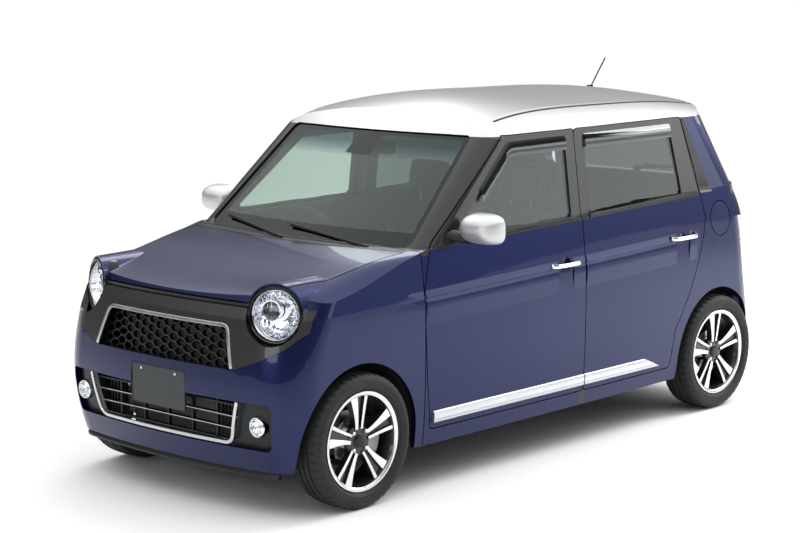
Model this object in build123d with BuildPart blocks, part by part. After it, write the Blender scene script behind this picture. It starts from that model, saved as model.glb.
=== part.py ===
"""A small four-door kei car at its real size: body, doors, lids, wheels, steering and cabin.

The frame has +X forward, +Y to the car's left and +Z up, with the origin on the ground under mid-length.
"""
import os
from math import cos, radians, sin, sqrt

from build123d import *

os.makedirs("parts", exist_ok=True)

# Overall sizes
length = 3395.0
half_length = length / 2
wheelbase = 2520.0
front_overhang = 470.0
track = 1305.0
front_axle_x = half_length - front_overhang
rear_axle_x = front_axle_x - wheelbase
wheel_y = track / 2

# Wheels and tyres
tyre_radius = 281.0
tyre_width = 165.0
rim_flange_radius = 207.0
rim_inner_radius = 190.0
rim_width = 140.0
spoke_pair_count = 5
nut_circle_radius = 50.0
nut_count = 4

# Body walls and gaps
skin = 22.0
seal_gap = 0.4
seal_drop = 3.0
door_depth = 88.0
roof_depth = 34.0
shut_gap = 5.0
overrun = 40.0
lamp_gap = 0.4
face_gap = 0.8

# How much of the side inset the ends of the inner forms take
cabin_end_share = 0.6
screen_inset_share = 1.5
tail_inset_share = 1.2

# Reaches past the body, for the solids that cut it
end_reach = 2000.0
nose_reach = 1800.0
side_reach = 800.0
top_reach = 1700.0

# Rise of the shoulder line from nose to tail
shoulder_rise = 0.034


def leaned_plane(height):
    """A level that rises toward the tail with the shoulder line; height is above the origin."""
    return Plane(origin=(0, 0, height), x_dir=(1, 0, -shoulder_rise), z_dir=(shoulder_rise, 0, 1))


# Plan outlines of the lower body, bottom to top.
# Columns: height, half width, nose x, tail x, nose corner radius, tail corner radius
lower_side = [
    (130.0, 694.0, 1610.0, -1640.0, 170.0, 150.0),
    (300.0, 722.0, 1662.0, -1697.5, 180.0, 150.0),
    (487.0, 732.0, 1697.5, -1668.0, 190.0, 150.0),
    (674.0, 735.0, 1688.0, -1636.0, 205.0, 160.0),
    (858.0, 730.0, 1642.0, -1614.0, 220.0, 170.0),
]
shoulder_side = [
    (858.0, 730.0, 1642.0, -1614.0, 220.0, 170.0),
    (1048.0, 708.0, 1545.0, -1590.0, 240.0, 190.0),
]
nose_bow = 68.0
tail_bow = 45.0
side_bow = 24.0

# Bonnet and shoulder sections, nose to cabin.
# Columns: x, centre height, crown half width, height there, edge height
bonnet_sections = [
    (1720.0, 790.0, 520.0, 735.0, 620.0),
    (1600.0, 880.0, 545.0, 885.0, 745.0),
    (1440.0, 915.0, 585.0, 925.0, 800.0),
    (1240.0, 955.0, 605.0, 960.0, 835.0),
    (1050.0, 990.0, 628.0, 994.0, 905.0),
    (880.0, 1018.0, 650.0, 1013.0, 990.0),
    (700.0, 1052.0, 690.0, 1046.0, 1040.0),
]
bonnet_edge_y = 742.0
bonnet_edge_gap = 1.0

# Glasshouse plan outlines, base and rail.
# Columns: height, half width, nose x, tail x, nose corner radius, tail corner radius, nose bow, tail bow
glasshouse = [
    (1003.0, 706.0, 925.0, -1642.0, 90.0, 200.0, 82.0, 47.0),
    (1455.0, 650.0, 402.0, -1388.0, 95.0, 240.0, 78.0, 55.0),
]
glasshouse_bow = 10.0
glasshouse_base = 940.0
glasshouse_top = 1660.0

# Roof sections, front to rear.
# Columns: x, centre height, crown half width, height there, rail height
roof_sections = [
    (560.0, 1440.0, 500.0, 1396.0, 1205.0),
    (400.0, 1508.0, 510.0, 1464.0, 1295.0),
    (180.0, 1570.0, 520.0, 1518.0, 1325.0),
    (-160.0, 1598.0, 522.0, 1545.0, 1337.0),
    (-640.0, 1590.0, 522.0, 1540.0, 1337.0),
    (-1263.0, 1547.0, 515.0, 1502.0, 1323.0),
    (-1500.0, 1520.0, 500.0, 1478.0, 1305.0),
]
roof_edge_y = 740.0

# Where the rounded shoulder of a crowned section passes, between its crown and its edge
crown_reach_share = 0.6
crown_drop_share = 0.36


def plan_outline(half_width, nose_x, tail_x, nose_radius, tail_radius, nose_drop, tail_drop, bow):
    """A sketch of nose arc, bowed sides and tail arc, with rounded corners."""
    middle_x = (nose_x + tail_x) / 2
    corner_y = half_width - bow
    front_x = nose_x - nose_drop
    back_x = tail_x + tail_drop
    with BuildSketch() as outline:
        with BuildLine():
            ThreePointArc((front_x, -corner_y), (nose_x, 0), (front_x, corner_y))
            ThreePointArc((front_x, corner_y), (middle_x, half_width), (back_x, corner_y))
            ThreePointArc((back_x, corner_y), (tail_x, 0), (back_x, -corner_y))
            ThreePointArc((back_x, -corner_y), (middle_x, -half_width), (front_x, -corner_y))
        make_face()
        corners = outline.vertices().sort_by(Axis.X)
        fillet(corners[:2], tail_radius)
        fillet(outline.vertices().sort_by(Axis.X)[-2:], nose_radius)
    return outline.sketch


def crown_section(centre_height, crown_y, crown_height, edge_y, edge_height, floor_height):
    """A sketch of a crowned top with rounded shoulders over straight sides."""
    middle_y = crown_y + crown_reach_share * (edge_y - crown_y)
    middle_height = crown_height - crown_drop_share * (crown_height - edge_height)
    with BuildSketch() as section:
        with BuildLine():
            ThreePointArc((-crown_y, crown_height), (0, centre_height), (crown_y, crown_height))
            ThreePointArc((crown_y, crown_height), (middle_y, middle_height), (edge_y, edge_height))
            Line((edge_y, edge_height), (edge_y, floor_height))
            Line((edge_y, floor_height), (-edge_y, floor_height))
            Line((-edge_y, floor_height), (-edge_y, edge_height))
            ThreePointArc((-edge_y, edge_height), (-middle_y, middle_height), (-crown_y, crown_height))
        make_face()
    return section.sketch


def across(x):
    """A plane across the car at x, its own x along +Y and its own y along +Z."""
    return Plane(origin=(x, 0, 0), x_dir=(0, 1, 0), z_dir=(1, 0, 0))


# Lamps
lamp_x = 1556.0
lamp_y = 556.0
lamp_height = 825.0
lamp_bezel_radius = 121.0
lamp_toe = 23.0
lamp_lift_share = 0.08
lamp_depth = 75.0
fog_x = 1642.0
fog_y = 538.0
fog_height = 384.0
fog_radius = 42.0
nacelle_radius = 127.0
nacelle_root_radius = 118.0
nacelle_root = (1320.0, 560.0, 836.0)
nacelle_depth = 3.0


def lamp_axis(y_sign, depth):
    """A plane square to a head lamp's axis, depth in front of its centre."""
    toe = radians(lamp_toe) * y_sign
    direction = (cos(toe), sin(toe), lamp_lift_share)
    size = sqrt(sum(value * value for value in direction))
    origin = [a + depth * b / size for a, b in zip((lamp_x, lamp_y * y_sign, lamp_height), direction)]
    return Plane(origin=origin, x_dir=(-sin(toe), cos(toe), 0), z_dir=direction)


def nacelle(y_sign, inset):
    """The rounded housing that rises through the bonnet behind one head lamp."""
    root_x, root_y, root_height = nacelle_root
    with BuildPart() as housing:
        with BuildSketch(across(root_x)):
            with Locations((y_sign * root_y, root_height)):
                Circle(nacelle_root_radius - inset)
        with BuildSketch(lamp_axis(y_sign, -nacelle_depth - inset)):
            Circle(nacelle_radius - inset)
        loft()
    return housing.part


def body_form(side_inset, end_inset, top_inset, nacelles=True, ledge_drop=0.0):
    """The closed outer form of the lower body and glasshouse, drawn in by the three insets.

    The ledge under the side windows is lowered by ledge_drop.
    """
    with BuildPart() as lower:
        for table, ruled in ((lower_side, False), (shoulder_side, True)):
            for height, half_width, nose_x, tail_x, nose_radius, tail_radius in table:
                drop = ledge_drop if height == shoulder_side[-1][0] else 0
                with BuildSketch(leaned_plane(height - drop)):
                    add(plan_outline(
                        half_width - side_inset, nose_x - end_inset, tail_x + end_inset,
                        nose_radius, tail_radius, nose_bow, tail_bow, side_bow,
                    ))
            loft(ruled=ruled)
    with BuildPart() as under_bonnet:
        for x, centre_height, crown_y, crown_height, edge_height in bonnet_sections:
            with BuildSketch(across(x)):
                add(crown_section(
                    centre_height - top_inset, crown_y - side_inset, crown_height - top_inset,
                    bonnet_edge_y - side_inset, edge_height - top_inset, 0,
                ))
        loft()
    with BuildPart() as air:
        with BuildSketch(across(bonnet_sections[-1][0])):
            with Locations((0, glasshouse_base)):
                Rectangle(2 * (bonnet_edge_y - side_inset - bonnet_edge_gap), half_length / 2)
        extrude(amount=half_length - bonnet_sections[-1][0])
        add(under_bonnet.part, mode=Mode.SUBTRACT)
    with BuildPart() as cabin:
        for height in (glasshouse_base, glasshouse_top):
            share = (height - glasshouse[0][0]) / (glasshouse[1][0] - glasshouse[0][0])
            values = [a + (b - a) * share for a, b in zip(glasshouse[0], glasshouse[1])]
            with BuildSketch(Plane.XY.offset(height)):
                add(plan_outline(
                    values[1] - side_inset, values[2] - screen_inset_share * end_inset,
                    values[3] + tail_inset_share * end_inset, *values[4:], glasshouse_bow,
                ))
        loft(ruled=True)
    with BuildPart() as roof:
        for x, centre_height, crown_y, crown_height, edge_height in roof_sections:
            with BuildSketch(across(x)):
                add(crown_section(
                    centre_height - top_inset, crown_y - side_inset, crown_height - top_inset,
                    roof_edge_y - side_inset, edge_height - top_inset, glasshouse_base - overrun,
                ))
        loft()
        with BuildSketch(across(roof_sections[0][0])):
            with Locations((0, glasshouse_base)):
                Rectangle(2 * roof_edge_y, 2 * (roof_sections[0][1] - glasshouse_base))
        extrude(amount=half_length)
    with BuildPart() as upper:
        add(cabin.part)
        add(roof.part, mode=Mode.INTERSECT)
    with BuildPart() as form:
        add(lower.part)
        add(air.part, mode=Mode.SUBTRACT)
        if nacelles:
            for y_sign in (-1, 1):
                add(nacelle(y_sign, top_inset))
        add(upper.part)
    return form.part


# Doors, seen from the side. Each outline is a closed list of x and z; the rear door ends in an arc.
sill_bottom = 193.0
door_bottom = 262.0
door_top = 1449.0
belt_height = 1046.0
door_split_x = -214.0
front_door_edge = [
    (door_split_x, door_bottom), (815.0, door_bottom), (842.0, 487.0), (854.0, 720.0), (854.0, 840.0),
    (804.0, 1003.0), (762.0, 1046.0), (262.0, door_top), (door_split_x, door_top),
]
rear_door_upper = [(-1038.0, door_top), (-1181.0, 965.0)]
rear_door_arc = [(-1181.0, 965.0), (-1087.0, 700.0), (-930.0, 444.0)]
rear_door_foot = (-898.0, door_bottom)
front_window = [(640.0, 1056.0), (240.0, 1410.0), (-150.0, 1412.0), (-150.0, 1058.0)]
rear_window = [(-286.0, 1060.0), (-286.0, 1412.0), (-948.0, 1412.0), (-1006.0, 1084.0)]
door_corner = 24.0
front_door_corner = 12.0
door_inner_y = 380.0
lid_inner_y = 600.0
window_corner = 22.0
flange_width = 44.0
jamb_width = 33.0
hinge_recess = ((738.0, 624.0, 996.0), (812.0, 700.0, 1056.0))
glass_inset = 7.0
glass_thickness = 5.0
glass_gap = 0.3

# Wheel arches
arch_radius = 322.0
front_arch_inner_y = 398.0
rear_arch_inner_y = 528.0

# Floor
floor_height = 234.0
floor_thickness = 28.0
boot_floor_height = 404.0
rear_kick_x = -590.0

# Screens, lids and nose, seen from front or above
screen_bottom = 1020.0
screen_top = 1452.0
screen_bottom_y = 622.0
screen_top_y = 540.0
screen_corner = 30.0
screen_prism_rear = 250.0
screen_prism_front = 1000.0
roof_split_height = 1453.0
tailgate_bottom = 575.0
tailgate_half_width = 575.0
tailgate_top_half_width = 500.0
tailgate_shoulder = 1040.0
tailgate_top = 1600.0
tailgate_corner = 20.0
tailgate_hinge_x = -1268.0
rear_glass_corner = 40.0
rear_glass_front = -1100.0
rear_glass = [(-505.0, 1118.0), (-440.0, 1420.0), (440.0, 1420.0), (505.0, 1118.0)]
bonnet_tail_x = 945.0
bonnet_tail_drop = 46.0
bonnet_tail_y = 636.0
bonnet_nose_y = 600.0
bonnet_side_x = 1460.0
bonnet_top = 1100.0
lip_height = 868.0
face_top = 846.0
face_bottom = 604.0
face_edge = [(690.0, face_top), (692.0, 760.0), (640.0, 700.0), (560.0, 655.0), (430.0, face_bottom)]
face_back_x = 1440.0
face_middle_y = 440.0
nose_hole_x = 1500.0
bumper_top_front = 700.0
bumper_top_rear = 570.0
bumper_corner = (1525.0, 700.0)
bumper_end = (1392.0, 556.0)
rear_bumper_x = -1500.0
fender_split_x = 859.0
side_frame_inner_y = 440.0

# Nose openings, seen from the front
grille_half_top = 372.0
grille_half_bottom = 428.0
grille_top = 780.0
grille_corner = 34.0
mouth_corner = 30.0
mouth_top = 480.0
mouth_bottom = 284.0
mouth_half_top = 618.0
mouth_half_bottom = 596.0
smile_half_top = 462.0
smile_half_bottom = 405.0
smile_bottom = 301.0
trim_width = 17.0
hex_cell = 40.0
hex_wall = 5.0
mesh_depth = 9.0
mesh_nose_x = 1666.0
mesh_lean = 0.25
mesh_bow_share = 0.82
mesh_reach = 640.0
mesh_rows = (24, 6)
mesh_edge = 12.0
plate_width = 330.0
plate_height = 165.0
plate_centre_height = 482.0
plate_thickness = 4.0
plate_seat_gap = 2.0
plate_setback = 11.0

# Wipers lying on the foot of the screen. Columns: pivot y, tip y
wiper_radius = 7.0
wiper_lift = 6.0
wiper_rows = [(430.0, -60.0), (-60.0, -500.0)]
wiper_foot_height = 1012.0
wiper_tip_height = 1062.0


def side_plane(y):
    """A plane along the car at y, seen from the left: its x along +X and its y along +Z."""
    return Plane(origin=(0, y, 0), x_dir=(1, 0, 0), z_dir=(0, -1, 0))


def polygon(points, corner):
    """A sketch of a closed outline with its corners rounded alike."""
    with BuildSketch() as outline:
        with BuildLine():
            Polyline(*points, close=True)
        make_face()
        if corner:
            fillet(outline.vertices(), corner)
    return outline.sketch


def grown(sketch, amount):
    """A sketch moved outward by amount, or inward where it is negative."""
    with BuildSketch() as outline:
        add(sketch)
        offset(amount=amount, kind=Kind.INTERSECTION)
    return outline.sketch


with BuildSketch() as rear_door_sketch:
    with BuildLine():
        Line((door_split_x - shut_gap, door_bottom), (door_split_x - shut_gap, door_top))
        Line((door_split_x - shut_gap, door_top), rear_door_upper[0])
        Line(*rear_door_upper)
        ThreePointArc(*rear_door_arc)
        Line(rear_door_arc[-1], rear_door_foot)
        Line(rear_door_foot, (door_split_x - shut_gap, door_bottom))
    make_face()
    fillet(rear_door_sketch.vertices().group_by(Axis.Y)[0], door_corner)
    fillet(rear_door_sketch.vertices().group_by(Axis.Y)[-1], door_corner)

front_door_outline = polygon(front_door_edge, front_door_corner)
rear_door_outline = rear_door_sketch.sketch


def side_prism(sketch, near_y=door_inner_y, far_y=side_reach):
    """A solid of a side outline between two distances from the centre line, on the left."""
    with BuildPart() as prism:
        with BuildSketch(side_plane(far_y)):
            add(sketch)
        extrude(amount=far_y - near_y)
    return prism.part


def front_prism(sketch, near_x, far_x):
    """A solid of a front outline between two places along the car."""
    with BuildPart() as prism:
        with BuildSketch(across(near_x)):
            add(sketch)
        extrude(amount=far_x - near_x)
    return prism.part


def top_prism(sketch, low, high):
    """A solid of a plan outline between two heights."""
    with BuildPart() as prism:
        with BuildSketch(Plane.XY.offset(low)):
            add(sketch)
        extrude(amount=high - low)
    return prism.part


def block(low_corner, high_corner):
    """A box from its lowest to its highest corner."""
    size = [b - a for a, b in zip(low_corner, high_corner)]
    with BuildPart() as box:
        with Locations(Location([(a + b) / 2 for a, b in zip(low_corner, high_corner)])):
            Box(*size)
    return box.part


def arch_tool(axle_x, radius, inner_y, outer_y=side_reach):
    """The round space over a wheel, open below, on both sides."""
    with BuildPart() as tool:
        with BuildSketch(side_plane(outer_y)):
            with Locations((axle_x, tyre_radius)):
                Circle(radius)
            with Locations((axle_x, 0)):
                Rectangle(2 * radius, 2 * tyre_radius)
        extrude(amount=outer_y - inner_y)
        mirror(about=Plane.XZ)
    return tool.part


def joined(*solids):
    """One part of several solids, overlapping ones fused."""
    with BuildPart() as whole:
        for solid in solids:
            add(solid)
    return whole.part


def cut_from(base, *tools):
    """The base with each tool taken away."""
    with BuildPart() as whole:
        add(base)
        for tool in tools:
            add(tool, mode=Mode.SUBTRACT)
    return whole.part


def common(base, *tools):
    """What the base shares with every tool."""
    with BuildPart() as whole:
        add(base)
        for tool in tools:
            add(tool, mode=Mode.INTERSECT)
    return whole.part


def mirrored(solid):
    """The same piece on the other side of the car."""
    with BuildPart() as other:
        add(solid)
        mirror(about=Plane.XZ, mode=Mode.REPLACE)
    return other.part


def nose_outline(nose_x, depth):
    """A sketch of a band that follows the bowed nose, depth thick behind nose_x at the centre."""
    end_x = nose_x - nose_bow * mesh_bow_share
    with BuildSketch() as band_outline:
        with BuildLine():
            ThreePointArc((end_x, -mesh_reach), (nose_x, 0), (end_x, mesh_reach))
            Line((end_x, mesh_reach), (end_x - depth, mesh_reach))
            ThreePointArc((end_x - depth, mesh_reach), (nose_x - depth, 0), (end_x - depth, -mesh_reach))
            Line((end_x - depth, -mesh_reach), (end_x, -mesh_reach))
        make_face()
    return band_outline.sketch


def wiper_x(y, height):
    """Where the screen lies at a height, a blade's radius in front of it."""
    share = (height - glasshouse[0][0]) / (glasshouse[1][0] - glasshouse[0][0])
    centre_x = glasshouse[0][2] + (glasshouse[1][2] - glasshouse[0][2]) * share
    return centre_x - glasshouse[0][6] * (y / glasshouse[0][1]) ** 2 + wiper_lift


def keep(part, name):
    """Labels a finished piece and writes it to its own file."""
    part.label = name
    export_step(part, f"parts/{name}.step")


# Forms of the body at several depths
outer_form = body_form(0, 0, 0)
skin_form = body_form(skin, skin, skin)
seal_form = body_form(skin + seal_gap, skin + seal_gap, skin + seal_gap, ledge_drop=seal_drop)
cabin_form = body_form(door_depth, door_depth * cabin_end_share, roof_depth, nacelles=False)
glass_outer = body_form(glass_inset, glass_inset, glass_inset, nacelles=False)
glass_back = glass_inset + glass_thickness
glass_inner = body_form(glass_back, glass_back, glass_back, nacelles=False)

skin_wall = cut_from(outer_form, skin_form)
door_wall = cut_from(skin_form, cabin_form)
body_wall = cut_from(outer_form, cabin_form)
glass_wall = cut_from(glass_outer, glass_inner)


# Side openings and the two door spaces
front_door_hole = side_prism(grown(front_door_outline, shut_gap))
rear_door_hole = side_prism(grown(rear_door_outline, shut_gap))
# The seal ledge stands back where the upper front corner of the door swings through
front_door_step = cut_from(front_door_hole, cut_from(seal_form, block(*hinge_recess)))
rear_door_step = cut_from(rear_door_hole, seal_form)
front_jamb_hole = side_prism(grown(front_door_outline, -jamb_width))
rear_jamb_hole = side_prism(grown(rear_door_outline, -jamb_width))
front_arch = arch_tool(front_axle_x, arch_radius, front_arch_inner_y)
rear_arch = arch_tool(rear_axle_x, arch_radius, rear_arch_inner_y)

screen_sketch = polygon([
    (-screen_bottom_y, screen_bottom), (-screen_top_y, screen_top),
    (screen_top_y, screen_top), (screen_bottom_y, screen_bottom),
], screen_corner)
screen_hole = front_prism(grown(screen_sketch, glass_gap), screen_prism_rear, screen_prism_front)

# The bonnet seen from above: a bowed tail edge, straight sides and a nose past the lip
with BuildSketch() as bonnet_sketch:
    with BuildLine():
        ThreePointArc(
            (bonnet_tail_x - bonnet_tail_drop, -bonnet_tail_y), (bonnet_tail_x, 0),
            (bonnet_tail_x - bonnet_tail_drop, bonnet_tail_y),
        )
        Polyline(
            (bonnet_tail_x - bonnet_tail_drop, bonnet_tail_y), (bonnet_side_x, bonnet_nose_y),
            (nose_reach, bonnet_nose_y), (nose_reach, -bonnet_nose_y), (bonnet_side_x, -bonnet_nose_y),
            (bonnet_tail_x - bonnet_tail_drop, -bonnet_tail_y),
        )
    make_face()
bonnet_prism = top_prism(bonnet_sketch.sketch, lip_height, bonnet_top)
bonnet_hole = top_prism(grown(bonnet_sketch.sketch, shut_gap), lip_height - shut_gap, bonnet_top)

# The tailgate seen from behind
tailgate_sketch = polygon([
    (-tailgate_half_width, tailgate_bottom), (-tailgate_half_width, tailgate_shoulder),
    (-tailgate_top_half_width, tailgate_top), (tailgate_top_half_width, tailgate_top),
    (tailgate_half_width, tailgate_shoulder), (tailgate_half_width, tailgate_bottom),
], tailgate_corner)
tailgate_hole = front_prism(grown(tailgate_sketch, shut_gap), -nose_reach, tailgate_hinge_x + shut_gap)
tailgate_prism = front_prism(tailgate_sketch, -nose_reach, tailgate_hinge_x)
tailgate_step = cut_from(tailgate_hole, seal_form)
tailgate_jamb_hole = front_prism(
    grown(tailgate_sketch, -jamb_width), -nose_reach, tailgate_hinge_x - jamb_width,
)
tailgate_core_prism = front_prism(
    grown(tailgate_sketch, -flange_width), -nose_reach, tailgate_hinge_x - flange_width,
)

# Bumper and fender share, seen from the side
front_bumper_side = polygon([
    (nose_reach, 0), (nose_reach, bumper_top_front), bumper_corner, bumper_end, (bumper_end[0], 0),
], 0)
front_bumper_zone = side_prism(front_bumper_side, -side_reach)
rear_bumper_zone = block((-nose_reach, -side_reach, 0), (rear_bumper_x, side_reach, bumper_top_rear))

# Face panel seen from the front: between and under the lamps, open at the grille
with BuildSketch() as face_sketch:
    with BuildLine():
        Polyline(
            *[(-y, height) for y, height in face_edge], *reversed(face_edge), close=True,
        )
    make_face()
with BuildSketch() as grille_sketch:
    with BuildLine():
        Polyline(
            (-grille_half_bottom, face_bottom - overrun), (-grille_half_top, grille_top),
            (grille_half_top, grille_top), (grille_half_bottom, face_bottom - overrun), close=True,
        )
    make_face()
    fillet(grille_sketch.vertices().group_by(Axis.Y)[-1], grille_corner)
mouth_sketch = polygon([
    (-mouth_half_bottom, mouth_bottom), (-mouth_half_top, mouth_top),
    (mouth_half_top, mouth_top), (mouth_half_bottom, mouth_bottom),
], mouth_corner)
face_prism = front_prism(face_sketch.sketch, face_back_x, nose_reach)
face_hole = front_prism(grown(face_sketch.sketch, face_gap), face_back_x, nose_reach)

with BuildPart() as lamp_hole:
    for y_sign in (-1, 1):
        with BuildSketch(lamp_axis(y_sign, -lamp_depth)):
            Circle(lamp_bezel_radius + lamp_gap)
        extrude(amount=2 * lamp_bezel_radius)

grille_hole = front_prism(grille_sketch.sketch, nose_hole_x, nose_reach)
mouth_hole = front_prism(mouth_sketch, nose_hole_x, nose_reach)
plate_x = half_length - plate_setback
plate_half_width = plate_width / 2 + plate_seat_gap
plate_half_height = plate_height / 2 + plate_seat_gap
plate_seat = block(
    (plate_x, -plate_half_width, plate_centre_height - plate_half_height),
    (half_length + overrun, plate_half_width, plate_centre_height + plate_half_height),
)

# Tail lamps stand on the corners beside the tailgate, seen from the side
tail_lamp_low = 770.0
tail_lamp_high = 1040.0
tail_lamp_foot_x = -1560.0
tail_lamp_head_x = -1495.0
tail_lamp_corner = 20.0
with BuildSketch() as tail_lamp_sketch:
    with BuildLine():
        Polyline(
            (-nose_reach, tail_lamp_low), (tail_lamp_foot_x, tail_lamp_low),
            (tail_lamp_head_x, tail_lamp_high), (-nose_reach, tail_lamp_high), close=True,
        )
    make_face()
    fillet(tail_lamp_sketch.vertices().group_by(Axis.X)[-1], tail_lamp_corner)
tail_lamp_zone = side_prism(tail_lamp_sketch.sketch, tailgate_half_width + 2 * shut_gap)
tail_lamp_hole = cut_from(tail_lamp_zone, skin_form)

# Fuel lid on the left rear quarter
fuel_lid_x = -1311.0
fuel_lid_height = 942.0
fuel_lid_radius = 82.0
fuel_lid_trim = 72.0
with BuildSketch() as fuel_lid_sketch:
    with Locations((fuel_lid_x, fuel_lid_height)):
        Circle(fuel_lid_radius)
fuel_lid_hole = cut_from(side_prism(grown(fuel_lid_sketch.sketch, shut_gap)), seal_form)
with BuildPart() as fuel_lid:
    add(skin_wall)
    add(side_prism(fuel_lid_sketch.sketch, lid_inner_y), mode=Mode.INTERSECT)
    with BuildSketch(side_plane(lid_inner_y)):
        with Locations((fuel_lid_x, fuel_lid_height)):
            Circle(fuel_lid_radius + overrun)
    extrude(amount=-fuel_lid_trim, mode=Mode.SUBTRACT)
keep(fuel_lid.part, "fuel_lid")

# Roof
with BuildPart() as roof_panel:
    add(body_wall)
    add(block(
        (-nose_reach, -side_reach, roof_split_height), (nose_reach, side_reach, top_reach),
    ), mode=Mode.INTERSECT)
    add(tailgate_step, mode=Mode.SUBTRACT)
    add(tailgate_jamb_hole, mode=Mode.SUBTRACT)
    add(screen_hole, mode=Mode.SUBTRACT)
keep(roof_panel.part, "roof_panel")

# Side frames: sills, pillars and rear quarters, with stepped door openings
with BuildPart() as side_frame:
    add(body_wall)
    add(block(
        (-end_reach, side_frame_inner_y, sill_bottom),
        (fender_split_x - shut_gap, side_reach, roof_split_height),
    ), mode=Mode.INTERSECT)
    for tool in (
        front_door_step, rear_door_step, front_jamb_hole, rear_jamb_hole,
        screen_hole, bonnet_hole, tailgate_step, tailgate_jamb_hole, rear_bumper_zone, front_arch, rear_arch,
        tail_lamp_hole,
    ):
        add(tool, mode=Mode.SUBTRACT)
with BuildPart() as side_frames:
    add(side_frame.part.solids().sort_by(SortBy.VOLUME)[-1])
    mirror(about=Plane.XZ)
    add(fuel_lid_hole, mode=Mode.SUBTRACT)
keep(side_frames.part, "side_frames")

with BuildPart() as tail_lamps:
    add(skin_wall)
    add(tail_lamp_zone, mode=Mode.INTERSECT)
    mirror(about=Plane.XZ)
keep(tail_lamps.part, "tail_lamps")

# Doors
handle_length = 196.0
handle_thickness = 20.0
handle_depth_share = 0.7
handle_foot = 26.0
handle_stand = 30.0
handle_bowl_radius = 62.0
handle_bowl_y = 778.0
skin_y = 727.0
strip_y = 732.0
strip_inner_y = 690.0
strip_low = 286.0
strip_high = 336.0
strip_nose_x = 806.0
strip_slant = (-680.0, -798.0)
strip_end_gap = 1.0
strip_front_end_x = door_split_x + strip_end_gap
strip_rear_start_x = door_split_x - shut_gap - strip_end_gap
strips = {
    "front": [
        (strip_front_end_x, strip_low), (strip_nose_x, strip_low), (strip_nose_x, strip_high),
        (strip_front_end_x, strip_high),
    ],
    "rear": [
        (strip_rear_start_x, strip_low), (strip_rear_start_x, strip_high),
        (strip_slant[0], strip_high), (strip_slant[1], strip_low),
    ],
}
mirror_x = 606.0
mirror_y = 812.0
mirror_height = 1092.0
# Columns: distance ahead of the mirror's centre, how far it moves inward, width, height, corner radius
mirror_sections = [
    (-38.0, 0.0, 206.0, 132.0, 50.0),
    (14.0, 0.0, 190.0, 118.0, 50.0),
    (62.0, 8.0, 118.0, 62.0, 27.0),
]
mirror_foot_outer_y = 782.0
mirror_foot_inner_y = 640.0
mirror_foot_x = 602.0
mirror_foot_height = 1042.0
mirror_foot_size = (64.0, 34.0)
mirror_foot_corner = 12.0
door_outlines = {
    "front": (front_door_outline, front_window, -72.0, 858.0),
    "rear": (rear_door_outline, rear_window, -980.0, 884.0),
}
under_belt = block((-end_reach, 0, 0), (end_reach, side_reach, belt_height))
for place, (outline, window, handle_x, handle_height) in door_outlines.items():
    window_sketch = polygon(window, window_corner)
    core = common(door_wall, side_prism(grown(outline, -flange_width)), under_belt)
    with BuildPart() as door:
        add(skin_wall)
        add(side_prism(outline), mode=Mode.INTERSECT)
        add(core)
        add(side_prism(grown(window_sketch, glass_gap)), mode=Mode.SUBTRACT)
        with Locations((handle_x, handle_bowl_y, handle_height)):
            Sphere(handle_bowl_radius, mode=Mode.SUBTRACT)
    with BuildPart() as glass:
        add(glass_wall)
        add(side_prism(window_sketch), mode=Mode.INTERSECT)
    with BuildPart() as trim:
        with BuildSketch(Plane.XY.offset(handle_height - handle_thickness / 2)):
            with BuildLine():
                half = handle_length / 2
                root_y = skin_y - overrun
                inner = handle_stand - handle_thickness * handle_depth_share
                foot = half - handle_foot
                ThreePointArc(
                    (handle_x - half, root_y), (handle_x, skin_y + handle_stand), (handle_x + half, root_y),
                )
                Line((handle_x + half, root_y), (handle_x + foot, root_y))
                ThreePointArc(
                    (handle_x + foot, root_y), (handle_x, skin_y + inner), (handle_x - foot, root_y),
                )
                Line((handle_x - foot, root_y), (handle_x - half, root_y))
            make_face()
        extrude(amount=handle_thickness)
        with BuildSketch(side_plane(strip_y)):
            with BuildLine():
                Polyline(*strips[place], close=True)
            make_face()
        extrude(amount=strip_y - strip_inner_y)
        if place == "front":
            for ahead, inward, wide, tall, corner in mirror_sections:
                with BuildSketch(across(mirror_x + ahead)):
                    with Locations((mirror_y - inward, mirror_height)):
                        RectangleRounded(wide, tall, corner)
            loft()
            with BuildSketch(side_plane(mirror_foot_outer_y)):
                with Locations((mirror_foot_x, mirror_foot_height)):
                    RectangleRounded(*mirror_foot_size, mirror_foot_corner)
            extrude(amount=mirror_foot_outer_y - mirror_foot_inner_y)
        add(outer_form, mode=Mode.SUBTRACT)
    for side, change in (("left", lambda solid: solid), ("right", mirrored)):
        keep(change(door.part), f"{place}_door_{side}_panel")
        keep(change(glass.part), f"{place}_door_{side}_glass")
        keep(change(trim.part), f"{place}_door_{side}_trim")

# Bonnet, cowl and fenders
cowl_rear_x = 700.0
cowl_front_x = 1000.0
cowl_low = 940.0
cowl_high = 1200.0
cowl_zone = block((cowl_rear_x, -bonnet_tail_y, cowl_low), (cowl_front_x, bonnet_tail_y, cowl_high))
with BuildPart() as cowl_skin:
    add(skin_wall)
    add(block(
        (fender_split_x, -bonnet_tail_y, cowl_low), (cowl_front_x, bonnet_tail_y, screen_bottom),
    ), mode=Mode.INTERSECT)
    add(bonnet_hole, mode=Mode.SUBTRACT)
    add(screen_hole, mode=Mode.SUBTRACT)
bulkhead_x = 862.0
bulkhead_thickness = 18.0
with BuildPart() as bulkhead:
    add(block(
        (bulkhead_x, -side_reach, floor_height), (bulkhead_x + bulkhead_thickness, side_reach, bonnet_top),
    ))
    add(skin_form, mode=Mode.INTERSECT)
with BuildPart() as cowl_panel:
    add(cowl_skin.part)
    add(bulkhead.part)
keep(cowl_panel.part.solids().sort_by(SortBy.VOLUME)[-1], "cowl_panel")
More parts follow.
